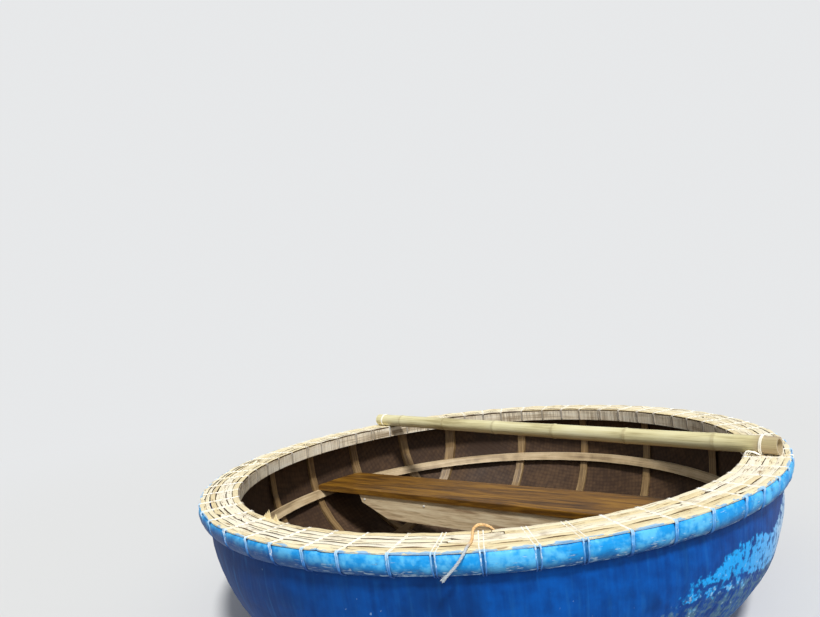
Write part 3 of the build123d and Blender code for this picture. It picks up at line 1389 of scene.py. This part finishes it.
@dataclass
class RimLaths:
    """Split-bamboo laths round the top of the gunwale, in butting lengths with slits between."""

    inner: float = INNER_EDGE
    outer: float = 1.0965
    rows: int = 7
    thickness: float = 0.0046
    crown: float = 0.0010
    column: float = 0.012
    sides: tuple[float, ...] = (-1.0, -0.9, -0.3, 0.3, 0.9, 1.0)
    share_range: Pair = (0.82, 1.18)
    span_range: Pair = (34, 96)
    shortest_span: float = 25
    gaps: tuple[float, ...] = (0.0016, 0.0026, 0.0040, 0.0060)
    gap_play: float = 0.3
    edge_loose: float = 0.15
    mean_width: float = 0.93
    width_play: float = 0.035
    wander: float = 0.0007
    taper_length: float = 0.03
    end_columns: int = 3
    lift_range: Pair = (0.0002, 0.0022)
    lean_range: Pair = (-0.0014, 0.0014)
    splay_range: Pair = (-0.004, 0.004)
    springs: tuple[float, ...] = (0.0, 0.0, 0.003, 0.006)
    tight_angles: tuple[float, ...] = (-78.0, -55.0, 2.0, 16.0)
    tightening: float = 0.65
    seed: int = 23
    splinter_root: float = 0.0135
    splinter_tip: float = 0.0006
    # Angle, length and lean of each broken end at the inner edge
    splinter_ends: tuple[Triple, ...] = (
        (-101.9, 0.025, 28), (-101.0, 0.033, 20), (-100.2, 0.037, 2),
        (-98.3, 0.030, 26), (-97.6, 0.028, -10),
    )

    def strip(
        self,
        reach: float,
        width: float,
        gap: float,
        ends: Pair,
        ties: Sequence[float],
        loose: float,
        rng: Random,
    ) -> Piece:
        """Bend one lath round the rim.

        Args:
            reach: Radius of its middle.
            width: Its width with the slit beside it.
            gap: Width of that slit, less where the laths lie tight.
            ends: Angles of its first and last end.
            ties: Angles of the lashings that hold it down.
            loose: How far its ends stray, 0 to 1.
            rng: Source of its irregularities.

        Returns:
            The lath as a closed mesh that knows its tone and its sides.
        """
        start, end = ends
        columns = max(6, int(math.radians(end - start) * reach / self.column))
        rows = len(self.sides)
        bpy.ops.mesh.primitive_grid_add(x_subdivisions=columns, y_subdivisions=rows - 1, size=1.0)
        lath = bpy.context.active_object
        waves = [(rng.uniform(2, 9), rng.uniform(0, 6.3), rng.uniform(0.4, 1.0)) for _ in range(4)]
        narrows = [(rng.uniform(9, 24), rng.uniform(0, 6.3)) for _ in range(3)]
        lift = rng.uniform(*self.lift_range)
        lean = rng.uniform(*self.lean_range)
        splay = [rng.uniform(*self.splay_range) * loose for _ in range(2)]
        spring = [rng.choice(self.springs) * loose for _ in range(2)]

        def bent(points: np.ndarray) -> np.ndarray:
            """Wrap the flat grid round the rim.

            Args:
                points: Rows of x, y and z.

            Returns:
                The points moved.
            """
            along = points[:, 0] + 0.5
            step = np.rint((points[:, 1] + 0.5) * (rows - 1)).astype(int)
            across = np.array(self.sides)[step]
            angle = start + (end - start) * along
            turn = np.radians(angle)
            wave = sum(size * np.sin(rate * turn * 3 + phase) for rate, phase, size in waves)
            play = sum(np.sin(rate * turn + phase) for rate, phase in narrows)
            narrow = self.mean_width + self.width_play * play
            tip = np.minimum(along, 1 - along) * math.radians(end - start) * reach
            taper = np.clip(0.5 + tip / self.taper_length, 0, 1)
            first = np.clip(1 - along * columns / self.end_columns, 0, 1)
            last = np.clip(1 - (1 - along) * columns / self.end_columns, 0, 1)
            tight = np.interp((angle + 180) % 360 - 180, self.tight_angles, (0.0, 1.0, 1.0, 0.0))
            half = (width - gap * (1 - self.tightening * tight)) / 2
            half = half * (narrow + self.width_play * tight)
            radius = reach + wave * self.wander + across * half * taper
            radius = radius + splay[0] * first + splay[1] * last
            held = np.sin(np.pi * tie_fraction(angle, ties)) ** 2
            height = RIM_TOP - 0.0008 - self.crown * across**2 + (lift + lean * across) * held
            height = height + (spring[0] * first**2 + spring[1] * last**2) * held
            return np.column_stack([radius * np.cos(turn), radius * np.sin(turn), height])

        flat = points_of(lath)
        store(lath, "tone", np.full(len(flat), rng.uniform(0.0, 1.0)))
        store(lath, "side", np.abs(flat[:, 1]) * 2)
        reshape(lath, bent)
        apply_modifier(lath, "SOLIDIFY", thickness=self.thickness, offset=-1.0)
        return lath

    def spans(self, ties: Sequence[float], rng: Random) -> list[Pair]:
        """Lengths of one row of laths that butt.

        Args:
            ties: Angles of the lashings.
            rng: Source of the lengths.

        Returns:
            First and last angle of each lath.
        """
        start = ties[rng.randrange(len(ties))] + 1.5
        spans = []
        angle = start
        while angle < start + 359:
            end = min(angle + rng.uniform(*self.span_range), start + 360)
            if start + 360 - end < self.shortest_span:
                end = start + 360
            spans.append((angle + 0.1, end - 0.1))
            angle = end
        return spans

    def build(self, ties: Sequence[float]) -> None:
        """Lay all rows, each of its own width.

        Args:
            ties: Angles of the lashings.
        """
        rng = Random(self.seed)
        shares = [rng.uniform(*self.share_range) for _ in range(self.rows)]
        scale = (self.outer - self.inner) / sum(shares)
        strips = []
        reach = self.inner
        for row, share in enumerate(shares):
            pitch = share * scale
            loose = self.edge_loose if row in (0, self.rows - 1) else 1.0
            for ends in self.spans(ties, rng):
                gap = rng.choice(self.gaps)
                play = rng.uniform(-self.gap_play, self.gap_play)
                middle = reach + pitch / 2 + play * gap * loose
                strips.append(self.strip(middle, pitch, gap, ends, ties, loose, rng))
            reach += pitch
        strips += self.splinters(rng)
        laths = join(strips, "rim_laths")
        smooth(laths, 50.0)
        names = [f"top_lath_{count}" for count in range(1, self.rows + 1)]
        place(laths, Slot.LATH_BAMBOO, LathBamboo().build(), *names)

    def splinters(self, rng: Random) -> list[Piece]:
        """Broken ends that stick up at the inner edge.

        Args:
            rng: Source of their irregularities.

        Returns:
            A mesh for each.
        """
        pieces = []
        for angle, length, lean in self.splinter_ends:
            bpy.ops.mesh.primitive_cone_add(
                vertices=6, radius1=self.splinter_root, radius2=self.splinter_tip, depth=length
            )
            piece = bpy.context.active_object
            along = Matrix.Rotation(math.radians(angle + 90), 4, "Z")
            tilt = Matrix.Rotation(math.radians(lean), 4, "Y")
            flat = Matrix.Diagonal((1.0, 0.35, 1.0, 1.0))
            raise_up = Matrix.Translation((0, 0, length * 0.42))
            reach = self.inner + rng.uniform(0.001, 0.004)
            spot = Matrix.Translation(round_point(angle, reach, RIM_TOP - 0.002))
            piece.data.transform(spot @ along @ tilt @ raise_up @ flat)
            pieces.append(piece)
        return pieces


@dataclass
class Lashings:
    """Doubled cords that bind the gunwale, each led round it from hull face to hull face."""

    thickness: float = 0.0046
    sink: float = 0.0004
    # Angles between which the two cords of a lashing stand apart
    parted: Pair = (-66.0, -44.0)
    parted_share: float = 0.15
    parted_range: Pair = (0.0052, 0.0068)
    close_range: Pair = (0.0022, 0.0028)
    # Past this angle the lashings slant back, and less
    slant_turn: float = -60.0
    back_slant: float = -0.4
    slant_range: Pair = (0.4, 1.2)
    play: float = 0.0006
    seed: int = 5

    def route(
        self, angle: float, side: float, slant: float, rail: Outline, rng: Random
    ) -> list[Vector]:
        """Control points of one cord.

        Args:
            angle: Angle of the lashing.
            side: Offset of this cord from the lashing's middle, in metres.
            slant: Degrees that the cord moves on over the top.
            rail: Outline of the pinched rail that it hugs, from the underside to the top.
            rng: Source of its irregularities.

        Returns:
            The points, from the hull's outside to its inside.
        """
        top = RIM_TOP + self.thickness / 2 - self.sink
        face = INNER_EDGE - self.thickness / 2 + self.sink
        # Radius, height and share of the slant: up the rail, over the top and back under
        stations = [(1.0640, 0.5500, 0.0)]
        stations += [(reach, height - 0.0012, 0.0) for reach, height in rail if height < 0.609]
        stations += [
            (1.1018, 0.6236, 0.05), (1.0860, top, 0.15), (1.0600, top, 0.35), (1.0350, top, 0.5),
            (1.0100, top, 0.7), (0.9850, top, 0.85), (0.9700, top, 1.0), (0.9582, 0.6238, 1.0),
            (face, 0.6080, 1.0), (face, 0.5900, 0.95), (face, 0.5720, 0.9), (0.9660, 0.5664, 0.9),
            (0.9900, 0.5660, 0.85), (1.0300, 0.5655, 0.8), (1.0500, 0.5600, 0.8),
            (1.0560, 0.5500, 0.8),
        ]
        points = []
        for reach, height, share in stations:
            closing = 1.0 if height > 0.59 else 0.55 + 0.45 * max(0.0, (height - 0.55) / 0.04)
            stray = math.degrees((side * closing + rng.uniform(-self.play, self.play)) / reach)
            points.append(round_point(angle + stray + slant * share, reach, height))
        return points

    def build(self, ties: Sequence[float], rail: Outline) -> None:
        """Tie all lashings.

        Args:
            ties: Angles of the lashings.
            rail: Outline of the pinched rail, from the underside to the top.
        """
        rng = Random(self.seed)
        routes = []
        for angle in ties:
            way = 1.0 if angle < self.slant_turn else self.back_slant
            slant = rng.uniform(*self.slant_range) * way
            half = rng.uniform(*self.close_range)
            if self.parted[0] < angle < self.parted[1] or rng.random() < self.parted_share:
                half = rng.uniform(*self.parted_range)
            routes.append(self.route(angle, -half, slant, rail, rng))
            routes.append(self.route(angle, half, slant * rng.uniform(0.8, 1.2), rail, rng))
        cords = lay_cords("rim_lashing_cords", routes, self.thickness)
        place(cords, Slot.CORD, PAINTED_CORD.build(), "rim_lashings")


@dataclass
class CrossPole:
    """Bamboo culm tied across the rim, with raised nodes and hollow cut ends."""

    start: Triple = (-0.955, 0.471, 0.654)
    end: Triple = (1.062, 0.106, 0.654)
    radius: float = 0.0298
    wall: float = 0.0075
    sides: int = 40
    node_spacing: float = 0.330
    mouth: float = 0.055
    # Distance from a node and share of the radius there
    node_profile: tuple[Pair, ...] = (
        (-0.060, 0.985), (-0.018, 0.992), (-0.006, 1.02), (-0.0015, 1.055), (0.0015, 1.02),
        (0.004, 1.045), (0.010, 1.0), (0.050, 0.985),
    )
    slimmest: float = 0.975
    shade: Colour = srgb(168, 154, 108)
    skin: Colour = srgb(218, 208, 158)
    sunned: Colour = srgb(238, 232, 192)
    ring: Colour = srgb(140, 116, 76)
    weathered: Colour = srgb(172, 148, 118)

    def axis(self) -> Vector:
        """From one end to the other."""
        return Vector(self.end) - Vector(self.start)

    def nodes(self) -> tuple[int, float]:
        """How many nodes the culm has, and the distance to the first.

        Returns:
            The count, and the distance in metres.
        """
        length = self.axis().length
        count = int(length // self.node_spacing)
        return count, (length - (count - 1) * self.node_spacing) / 2

    def stations(self) -> list[Pair]:
        """Places along the culm where its width changes.

        Returns:
            Distance and radius at each.
        """
        length = self.axis().length
        count, first = self.nodes()
        marks = [(0.0, self.radius)]
        for index in range(count):
            node = first + index * self.node_spacing
            marks += [(node + offset, self.radius * share) for offset, share in self.node_profile]
            marks.append((node + self.node_spacing / 2, self.radius * self.slimmest))
        marks = [mark for mark in marks if mark[0] < length - 0.002]
        return marks + [(length, self.radius * 0.985)]

    def build(self) -> None:
        """Extrude the culm from station to station, then hollow both ends."""
        marks = self.stations()
        culm = circle("cross_pole_culm", self.sides, marks[0][1])
        begin_edit()
        for (here, size), (there, new_size) in zip(marks, marks[1:]):
            bpy.ops.mesh.extrude_region_move(TRANSFORM_OT_translate={"value": (0, 0, there - here)})
            bpy.ops.transform.resize(value=(new_size / size, new_size / size, 1))
        self.hollow(-self.mouth)
        bpy.ops.mesh.select_all(action="DESELECT")
        bpy.ops.object.mode_set(mode="OBJECT")
        for vertex in culm.data.vertices:
            vertex.select = abs(vertex.co.z) < TINY
        bpy.ops.object.mode_set(mode="EDIT")
        self.hollow(self.mouth)
        end_edit()
        turn = self.axis().to_track_quat("Z", "Y").to_matrix().to_4x4()
        culm.data.transform(Matrix.Translation(Vector(self.start)) @ turn)
        smooth(culm, 35.0)
        place(culm, Slot.POLE_BAMBOO, self.material(), "cross_pole")

    def hollow(self, depth: float) -> None:
        """Turn the selected rim inwards to the wall's thickness, sink it and close it.

        Args:
            depth: How far it is sunk, upwards if positive.
        """
        share = (self.radius - self.wall) / self.radius
        bpy.ops.mesh.extrude_region_move(TRANSFORM_OT_translate={"value": (0, 0, 0)})
        bpy.ops.transform.resize(value=(share, share, 1))
        bpy.ops.mesh.extrude_region_move(TRANSFORM_OT_translate={"value": (0, 0, depth)})
        bpy.ops.mesh.edge_face_add()

    def material(self) -> Material:
        """Dry culm: green-straw skin, darker rings at the nodes and brown weathering.

        Returns:
            The material.
        """
        shader = Shader("pole_bamboo")
        line = self.axis().normalized()
        length = self.axis().length
        along = (shader.x - self.start[0]) * line.x + (shader.y - self.start[1]) * line.y
        across = (shader.x - self.start[0]) * -line.y + (shader.y - self.start[1]) * line.x
        _, first = self.nodes()
        phase = (along - first) * (math.pi / self.node_spacing)
        node = phase.sine().absolute().fading(0.0, 0.10)
        thin = shader.vector(along * 4.0, across * 230.0, shader.z * 230.0)
        fibres = shader.noise(1.0, 4.0, thin)
        broad = shader.vector(along * 3.0, across * 14.0, shader.z * 14.0)
        blotch = shader.noise(1.0, 5.0, broad)
        colour = shader.ramp(
            (fibres * 0.35 + blotch * 0.65).between(0.32, 0.7),
            [(0.0, self.shade), (0.35, self.skin), (1.0, self.sunned)],
        )
        tip = along.between(length - 0.085, length - 0.05) * blotch.between(0.2, 0.5)
        colour = shader.layered(colour, (node * 0.35, self.ring), (tip * 0.8, self.weathered))
        height = fibres * 0.6 + blotch * 0.4
        return shader.finish(colour, 0.42, shader.bump(height, 0.0007))


@dataclass
class PoleTies:
    """Cord turns that bind the pole to the gunwale near each end."""

    thickness: float = 0.0048
    turns: int = 2
    pitch: float = 0.0046
    inset: float = 0.050
    reach: float = 0.0318
    steps: int = 16
    beside: float = 1.7
    strop_thickness: float = 0.0036
    strop_sides: Pair = (-0.0030, 0.0032)
    strop_slant: float = 0.2
    sway: float = 0.0035
    sway_play: float = 0.0004
    end_play: float = 0.4
    seed: int = 3
    # Shift in degrees, radius and climb of each loose end
    loose_ends: tuple[Triple, ...] = (
        (-0.2, 0.982, 0.021), (-0.6, 0.976, 0.025), (0.3, 0.990, 0.018),
    )

    def loops(self, middle: Vector, line: Vector, rng: Random) -> list[list[Vector]]:
        """Turns round the pole, pressed flat on the laths below it.

        Args:
            middle: Place on the pole's axis.
            line: The pole's direction.
            rng: Source of irregularity.

        Returns:
            The control points of each turn.
        """
        across = Vector((-line.y, line.x, 0.0))
        turns = []
        for count in range(self.turns):
            shift = line * ((count - (self.turns - 1) / 2) * self.pitch)
            loop = []
            for step in range(self.steps + 1):
                turn = math.radians(step * 360 / self.steps - 90)
                lift = Vector((0, 0, self.reach * math.sin(turn)))
                offset = across * (self.reach * math.cos(turn)) + lift
                play = rng.uniform(-self.sway_play, self.sway_play)
                sway = line * (self.sway * math.sin(turn) + play)
                loop.append(middle + shift + sway + offset)
            turns.append(loop)
        return turns

    def ends(self, angle: float, rng: Random) -> list[list[Vector]]:
        """Loose cord ends that curl over the inner edge beside the pole.

        Args:
            angle: Angle of the place beside the pole.
            rng: Source of irregularity.

        Returns:
            The control points of each end.
        """
        strands = []
        for shift, reach, climb in self.loose_ends:
            stray = rng.uniform(-self.end_play, self.end_play)
            strands.append([
                round_point(angle, 1.012, RIM_TOP + 0.0075),
                round_point(angle + shift * 0.5, 1.000, RIM_TOP + 0.014),
                round_point(angle + shift, reach, RIM_TOP + climb),
                round_point(angle + shift * 1.3, reach - 0.010, RIM_TOP + 0.011),
                round_point(angle + shift * 1.1 + stray, reach - 0.014, RIM_TOP - 0.002),
            ])
        return strands

    def build(self, pole: CrossPole, rail: Outline) -> None:
        """Bind both ends, with a strop round the gunwale below each.

        Args:
            pole: The pole that they bind.
            rail: Outline of the pinched rail, from the underside to the top.
        """
        rng = Random(self.seed)
        line = pole.axis().normalized()
        strop = Lashings(thickness=self.strop_thickness)
        for name, end, inward in (("right", pole.end, -line), ("left", pole.start, line)):
            middle = Vector(end) + inward * self.inset
            angle = math.degrees(math.atan2(middle.y, middle.x))
            routes = self.loops(middle, line, rng) + self.ends(angle - self.beside, rng)
            routes += [strop.route(angle, side, self.strop_slant, rail, rng)
                       for side in self.strop_sides]
            cords = lay_cords(f"pole_tie_{name}_cord", routes, self.thickness, 3)
            place(cords, Slot.CORD, CORD.build(), f"pole_tie_{name}")


@dataclass
class TowRope:
    """Short three-strand rope from its knot over the rim, with a frayed tail."""

    diameter: float = 0.008
    lay: float = 0.028
    # Angle, radius and height from the knot to the end
    route: tuple[Triple, ...] = (
        (-55.3, 0.9485, 0.596), (-55.9, 0.951, 0.618), (-57.1, 0.957, 0.635),
        (-58.35, 0.966, 0.641), (-59.1, 0.984, 0.6365), (-59.15, 1.008, 0.629),
        (-59.25, 1.048, 0.627), (-59.7, 1.086, 0.6305), (-60.15, 1.107, 0.621),
        (-60.95, 1.113, 0.601), (-61.9, 1.113, 0.583), (-62.7, 1.111, 0.568),
    )
    length: float = 0.294
    strand_size: float = 0.53
    strand_offset: float = 0.235
    knot_size: float = 0.85
    knot_height: float = 0.584
    # Half sizes of the knot along the hoop, in height and outwards
    knot_axes: Triple = (0.0030, 0.0027, 0.0042)
    knot_steps: int = 24
    fibre_count: int = 46
    fibre_size: float = 0.0010
    fibre_root: float = 0.008
    root_range: Pair = (0.0006, 0.0034)
    reach_range: Pair = (0.004, 0.013)
    spread_range: Pair = (0.2, 1.2)
    seed: int = 17

    def build(self) -> None:
        """Lay the strands, fray the end and tie the knot."""
        points = centreline([round_point(*spot) for spot in self.route], 10)
        strands = self.strands(points)
        rope = lay_cords("tow_rope_strands", strands, self.diameter * self.strand_size)
        material = ROPE.build()
        place(rope, Slot.ROPE_FIBRE, material, "tow_rope")
        tail = to_mesh(cord_curve("tow_rope_fray", self.fray(points), self.fibre_size))
        place(tail, Slot.ROPE_FIBRE, material)
        knot = lay_cords("rope_knot_turns", [self.knot()], self.diameter * self.knot_size, 6)
        place(knot, Slot.ROPE_FIBRE, material, "rope_knot")

    def strands(self, points: Route) -> list[list[Vector]]:
        """Three strands twisted round the centreline.

        Args:
            points: The rope's centreline.

        Returns:
            The points of each strand.
        """
        turn_radius = self.diameter * self.strand_offset
        frames = travelling_frames(points)
        strands = []
        for strand in range(3):
            run = 0.0
            path = []
            for index, (point, (side, up)) in enumerate(zip(points, frames)):
                if index:
                    run += (point - points[index - 1]).length
                turn = math.tau * (run / self.lay + strand / 3)
                path.append(point + (side * math.cos(turn) + up * math.sin(turn)) * turn_radius)
            strands.append(path)
        return strands

    def fray(self, points: Route) -> list[list[Vector]]:
        """Loose fibres past the end of the rope.

        Args:
            points: The rope's centreline.

        Returns:
            The control points of each fibre.
        """
        rng = Random(self.seed)
        end = points[-1]
        onward = (points[-1] - points[-3]).normalized()
        side, up = travelling_frames(points)[-1]
        fibres = []
        for _ in range(self.fibre_count):
            turn = rng.uniform(0, math.tau)
            size = rng.uniform(*self.root_range)
            root = side * math.cos(turn) * size + up * math.sin(turn) * size
            reach = rng.uniform(*self.reach_range)
            spread = root * rng.uniform(*self.spread_range)
            fibres.append([
                end - onward * self.fibre_root + root,
                end + onward * (reach * 0.45) + root + spread * 0.25,
                end + onward * reach + root + spread,
            ])
        return fibres

    def knot(self) -> list[Vector]:
        """An overhand knot, pulled up against the inner hoop below the rope's exit.

        Returns:
            The points along it.
        """
        angle, reach, _ = self.route[0]
        middle = round_point(angle, reach + 0.0015, self.knot_height)
        out = round_point(angle, 1.0, 0.0)
        side = Vector((-out.y, out.x, 0.0))
        along, upward, outward = self.knot_axes
        points = []
        for step in range(self.knot_steps + 1):
            turn = math.tau * step / self.knot_steps
            ring = 2 + math.cos(3 * turn)
            points.append(
                middle
                + side * (ring * math.cos(2 * turn) * along)
                + Vector((0, 0, ring * math.sin(2 * turn) * upward))
                + out * (math.sin(3 * turn) * outward)
            )
        return points


def travelling_frames(points: Route) -> list[tuple[Vector, Vector]]:
    """Two unit vectors across a line at each of its points, carried along without twist.

    Args:
        points: The line.

    Returns:
        Both vectors at each point.
    """
    frames = []
    side = Vector((0, 0, 1)).cross(points[1] - points[0])
    if side.length < TINY:
        side = Vector((1, 0, 0)).cross(points[1] - points[0])
    for index, _ in enumerate(points):
        ahead = points[min(index + 1, len(points) - 1)] - points[max(index - 1, 0)]
        ahead.normalize()
        side = (side - ahead * side.dot(ahead)).normalized()
        frames.append((side.copy(), ahead.cross(side)))
    return frames


@dataclass
class Woodwork:
    """Frame pieces whose own shape stays, and the screws that hold the boards under the bench."""

    bench_front: float = 0.008
    bench_back: float = 0.271
    apron_setback: float = 0.008
    screw_height: float = 0.357
    screw_radius: float = 0.0048
    screw_depth: float = 0.004
    screw_proud: float = 0.0012
    screw_edge: float = 0.0009
    screw_sides: int = 20
    screw_places: tuple[float, ...] = (-0.70, -0.34, 0.34, 0.70)

    def dress(self, nodes: dict[str, Piece]) -> None:
        """Give each node its material.

        Args:
            nodes: The frame's objects by name.
        """
        finishes = (
            ("gunwale_core", BUNDLE.build()),
            ("gunwale_inner_hoop", INNER_HOOP.build()),
            ("stringer_hoop", HOOPS.build()),
            ("bench_plank", BENCH.build()),
            ("bench_apron", RAW_WOOD.build()),
            ("rib_long", LONG_RIB.build()),
            ("rib_cross", CROSS_RIB.build()),
        )
        for prefix, material in finishes:
            for name, node in nodes.items():
                if name.startswith(prefix):
                    node.data.materials.clear()
                    node.data.materials.append(material)
                    LOG.info("%s: %s", name, material.name)

    def screws(self) -> None:
        """Drive screws through both boards."""
        heads = []
        faces = (
            (self.bench_front + self.apron_setback, -1), (self.bench_back - self.apron_setback, 1),
        )
        for face, outward in faces:
            for place_x in self.screw_places:
                bpy.ops.mesh.primitive_cylinder_add(
                    vertices=self.screw_sides, radius=self.screw_radius, depth=self.screw_depth
                )
                head = bpy.context.active_object
                turn = Matrix.Rotation(math.radians(90), 4, "X")
                outer = face + outward * self.screw_proud
                spot = Matrix.Translation((place_x, outer, self.screw_height))
                head.data.transform(spot @ turn)
                heads.append(head)
        screws = join(heads, "apron_screws")
        apply_modifier(screws, "BEVEL", width=self.screw_edge, segments=2, limit_method="ANGLE")
        smooth(screws, 40.0)
        place(screws, Slot.RAW_WOOD, steel())


@dataclass(frozen=True)
class Lamp:
    """Distant soft lamp, with its direction, its strength and how many degrees wide it is."""

    name: str
    toward: Triple
    strength: float
    spread: float


@dataclass
class Studio:
    """Camera at the photograph's place, pale floor at the waterline, and soft lights."""

    eye: Triple = (1.4024, -2.1402, 1.1643)
    right: Triple = (0.7791, 0.6170, -0.1107)
    down: Triple = (-0.1041, -0.0468, -0.9935)
    focal_pixels: float = 616.0
    sensor: float = 36.0
    hole_radius: float = 0.758
    floor_radius: float = 40.0
    floor_sides: int = 160
    floor_colour: Colour = (0.66, 0.66, 0.65)
    floor_fade: Pair = (2.2, 7.0)
    backdrop: Colour = (0.80, 0.81, 0.82)
    sky: Colour = (0.93, 0.96, 1.0)
    sky_strength: float = 0.36
    lamps: tuple[Lamp, ...] = (
        Lamp("key", (-0.44, 0.36, -0.82), 3.15, 8.0),
        Lamp("fill", (-0.55, 0.70, -0.45), 0.3, 60.0),
    )

    def camera(self) -> None:
        """Place the camera; its roll is the boat's heel in the photograph."""
        data = bpy.data.cameras.new("camera")
        data.sensor_width = self.sensor
        data.lens = self.focal_pixels * self.sensor / IMAGE_WIDTH
        right = Vector(self.right).normalized()
        up = -Vector(self.down)
        up = (up - right * up.dot(right)).normalized()
        back = right.cross(up)
        turn = Matrix((right, up, back)).transposed().to_4x4()
        camera = add_object("camera", data)
        camera.matrix_world = Matrix.Translation(Vector(self.eye)) @ turn
        bpy.context.scene.camera = camera

    def floor(self) -> None:
        """Lay a floor round the hull at its waterline."""
        floor = circle("floor", self.floor_sides, self.hole_radius, WATERLINE)
        begin_edit()
        bpy.ops.mesh.extrude_region_move(TRANSFORM_OT_translate={"value": (0, 0, 0)})
        share = self.floor_radius / self.hole_radius
        bpy.ops.transform.resize(value=(share, share, 1), center_override=(0, 0, WATERLINE))
        end_edit()
        bpy.ops.object.transform_apply(location=True)
        floor.data.materials.append(self.floor_material())

    def floor_material(self) -> Material:
        """Pale matt floor that fades into the backdrop far from the boat.

        Returns:
            The material.
        """
        shader = Shader("floor")
        surface = shader.node(
            "ShaderNodeBsdfPrincipled",
            None,
            {"Base Color": self.floor_colour, "Roughness": 0.9, "Specular IOR Level": 0.2},
        )
        glow = shader.node("ShaderNodeEmission", None, {"Color": self.backdrop, "Strength": 1.0})
        far = shader.radius().between(*self.floor_fade)
        mixed = shader.node(
            "ShaderNodeMixShader", None, {0: far, 1: surface.outputs[0], 2: glow.outputs[0]}
        )
        shader.node("ShaderNodeOutputMaterial", None, {"Surface": mixed.outputs[0]})
        return shader.material

    def world(self) -> None:
        """Even fill light, and a pale backdrop for the camera."""
        world = bpy.data.worlds.new("studio")
        bpy.context.scene.world = world
        nodes = Nodes(world)
        seen = nodes.node("ShaderNodeLightPath").outputs["Is Camera Ray"]
        sky = {"Color": self.sky, "Strength": self.sky_strength}
        fill = nodes.node("ShaderNodeBackground", None, sky)
        plain = nodes.node("ShaderNodeBackground", None, {"Color": self.backdrop})
        shares = {0: seen, 1: fill.outputs[0], 2: plain.outputs[0]}
        mixed = nodes.node("ShaderNodeMixShader", None, shares)
        nodes.node("ShaderNodeOutputWorld", None, {"Surface": mixed.outputs[0]})

    @staticmethod
    def hang(lamp: Lamp) -> None:
        """Add a lamp to the scene.

        Args:
            lamp: Its direction, strength and spread.
        """
        data = bpy.data.lights.new(lamp.name, "SUN")
        data.energy = lamp.strength
        data.angle = math.radians(lamp.spread)
        light = add_object(lamp.name, data)
        light.rotation_euler = Vector(lamp.toward).to_track_quat("-Z", "Y").to_euler()

    def build(self) -> None:
        """Set the whole stage."""
        self.camera()
        self.floor()
        self.world()
        for lamp in self.lamps:
            self.hang(lamp)
        bpy.context.scene.view_settings.view_transform = "Standard"


def corners(bounds: Sequence[Sequence[float]]) -> list[list[float]]:
    """Bounds as plain lists of numbers."""
    return [[float(number) for number in corner] for corner in bounds]


def main() -> None:
    """Load the frame, then build and dress the boat piece by piece."""
    logging.basicConfig(level=logging.INFO, format="%(message)s")
    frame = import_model()
    ties = tie_angles()
    Studio().build()
    TowRope().build()
    BasketHull().build()
    rail = RubRail()
    rail.build(ties)
    RimLaths().build(ties)
    Lashings().build(ties, rail.pinched(CORD_COVER))
    pole = CrossPole()
    pole.build()
    PoleTies().build(pole, rail.pinched(CORD_COVER))
    woodwork = Woodwork()
    woodwork.dress(frame["nodes"])
    woodwork.screws()


if __name__ == "__main__":
    main()
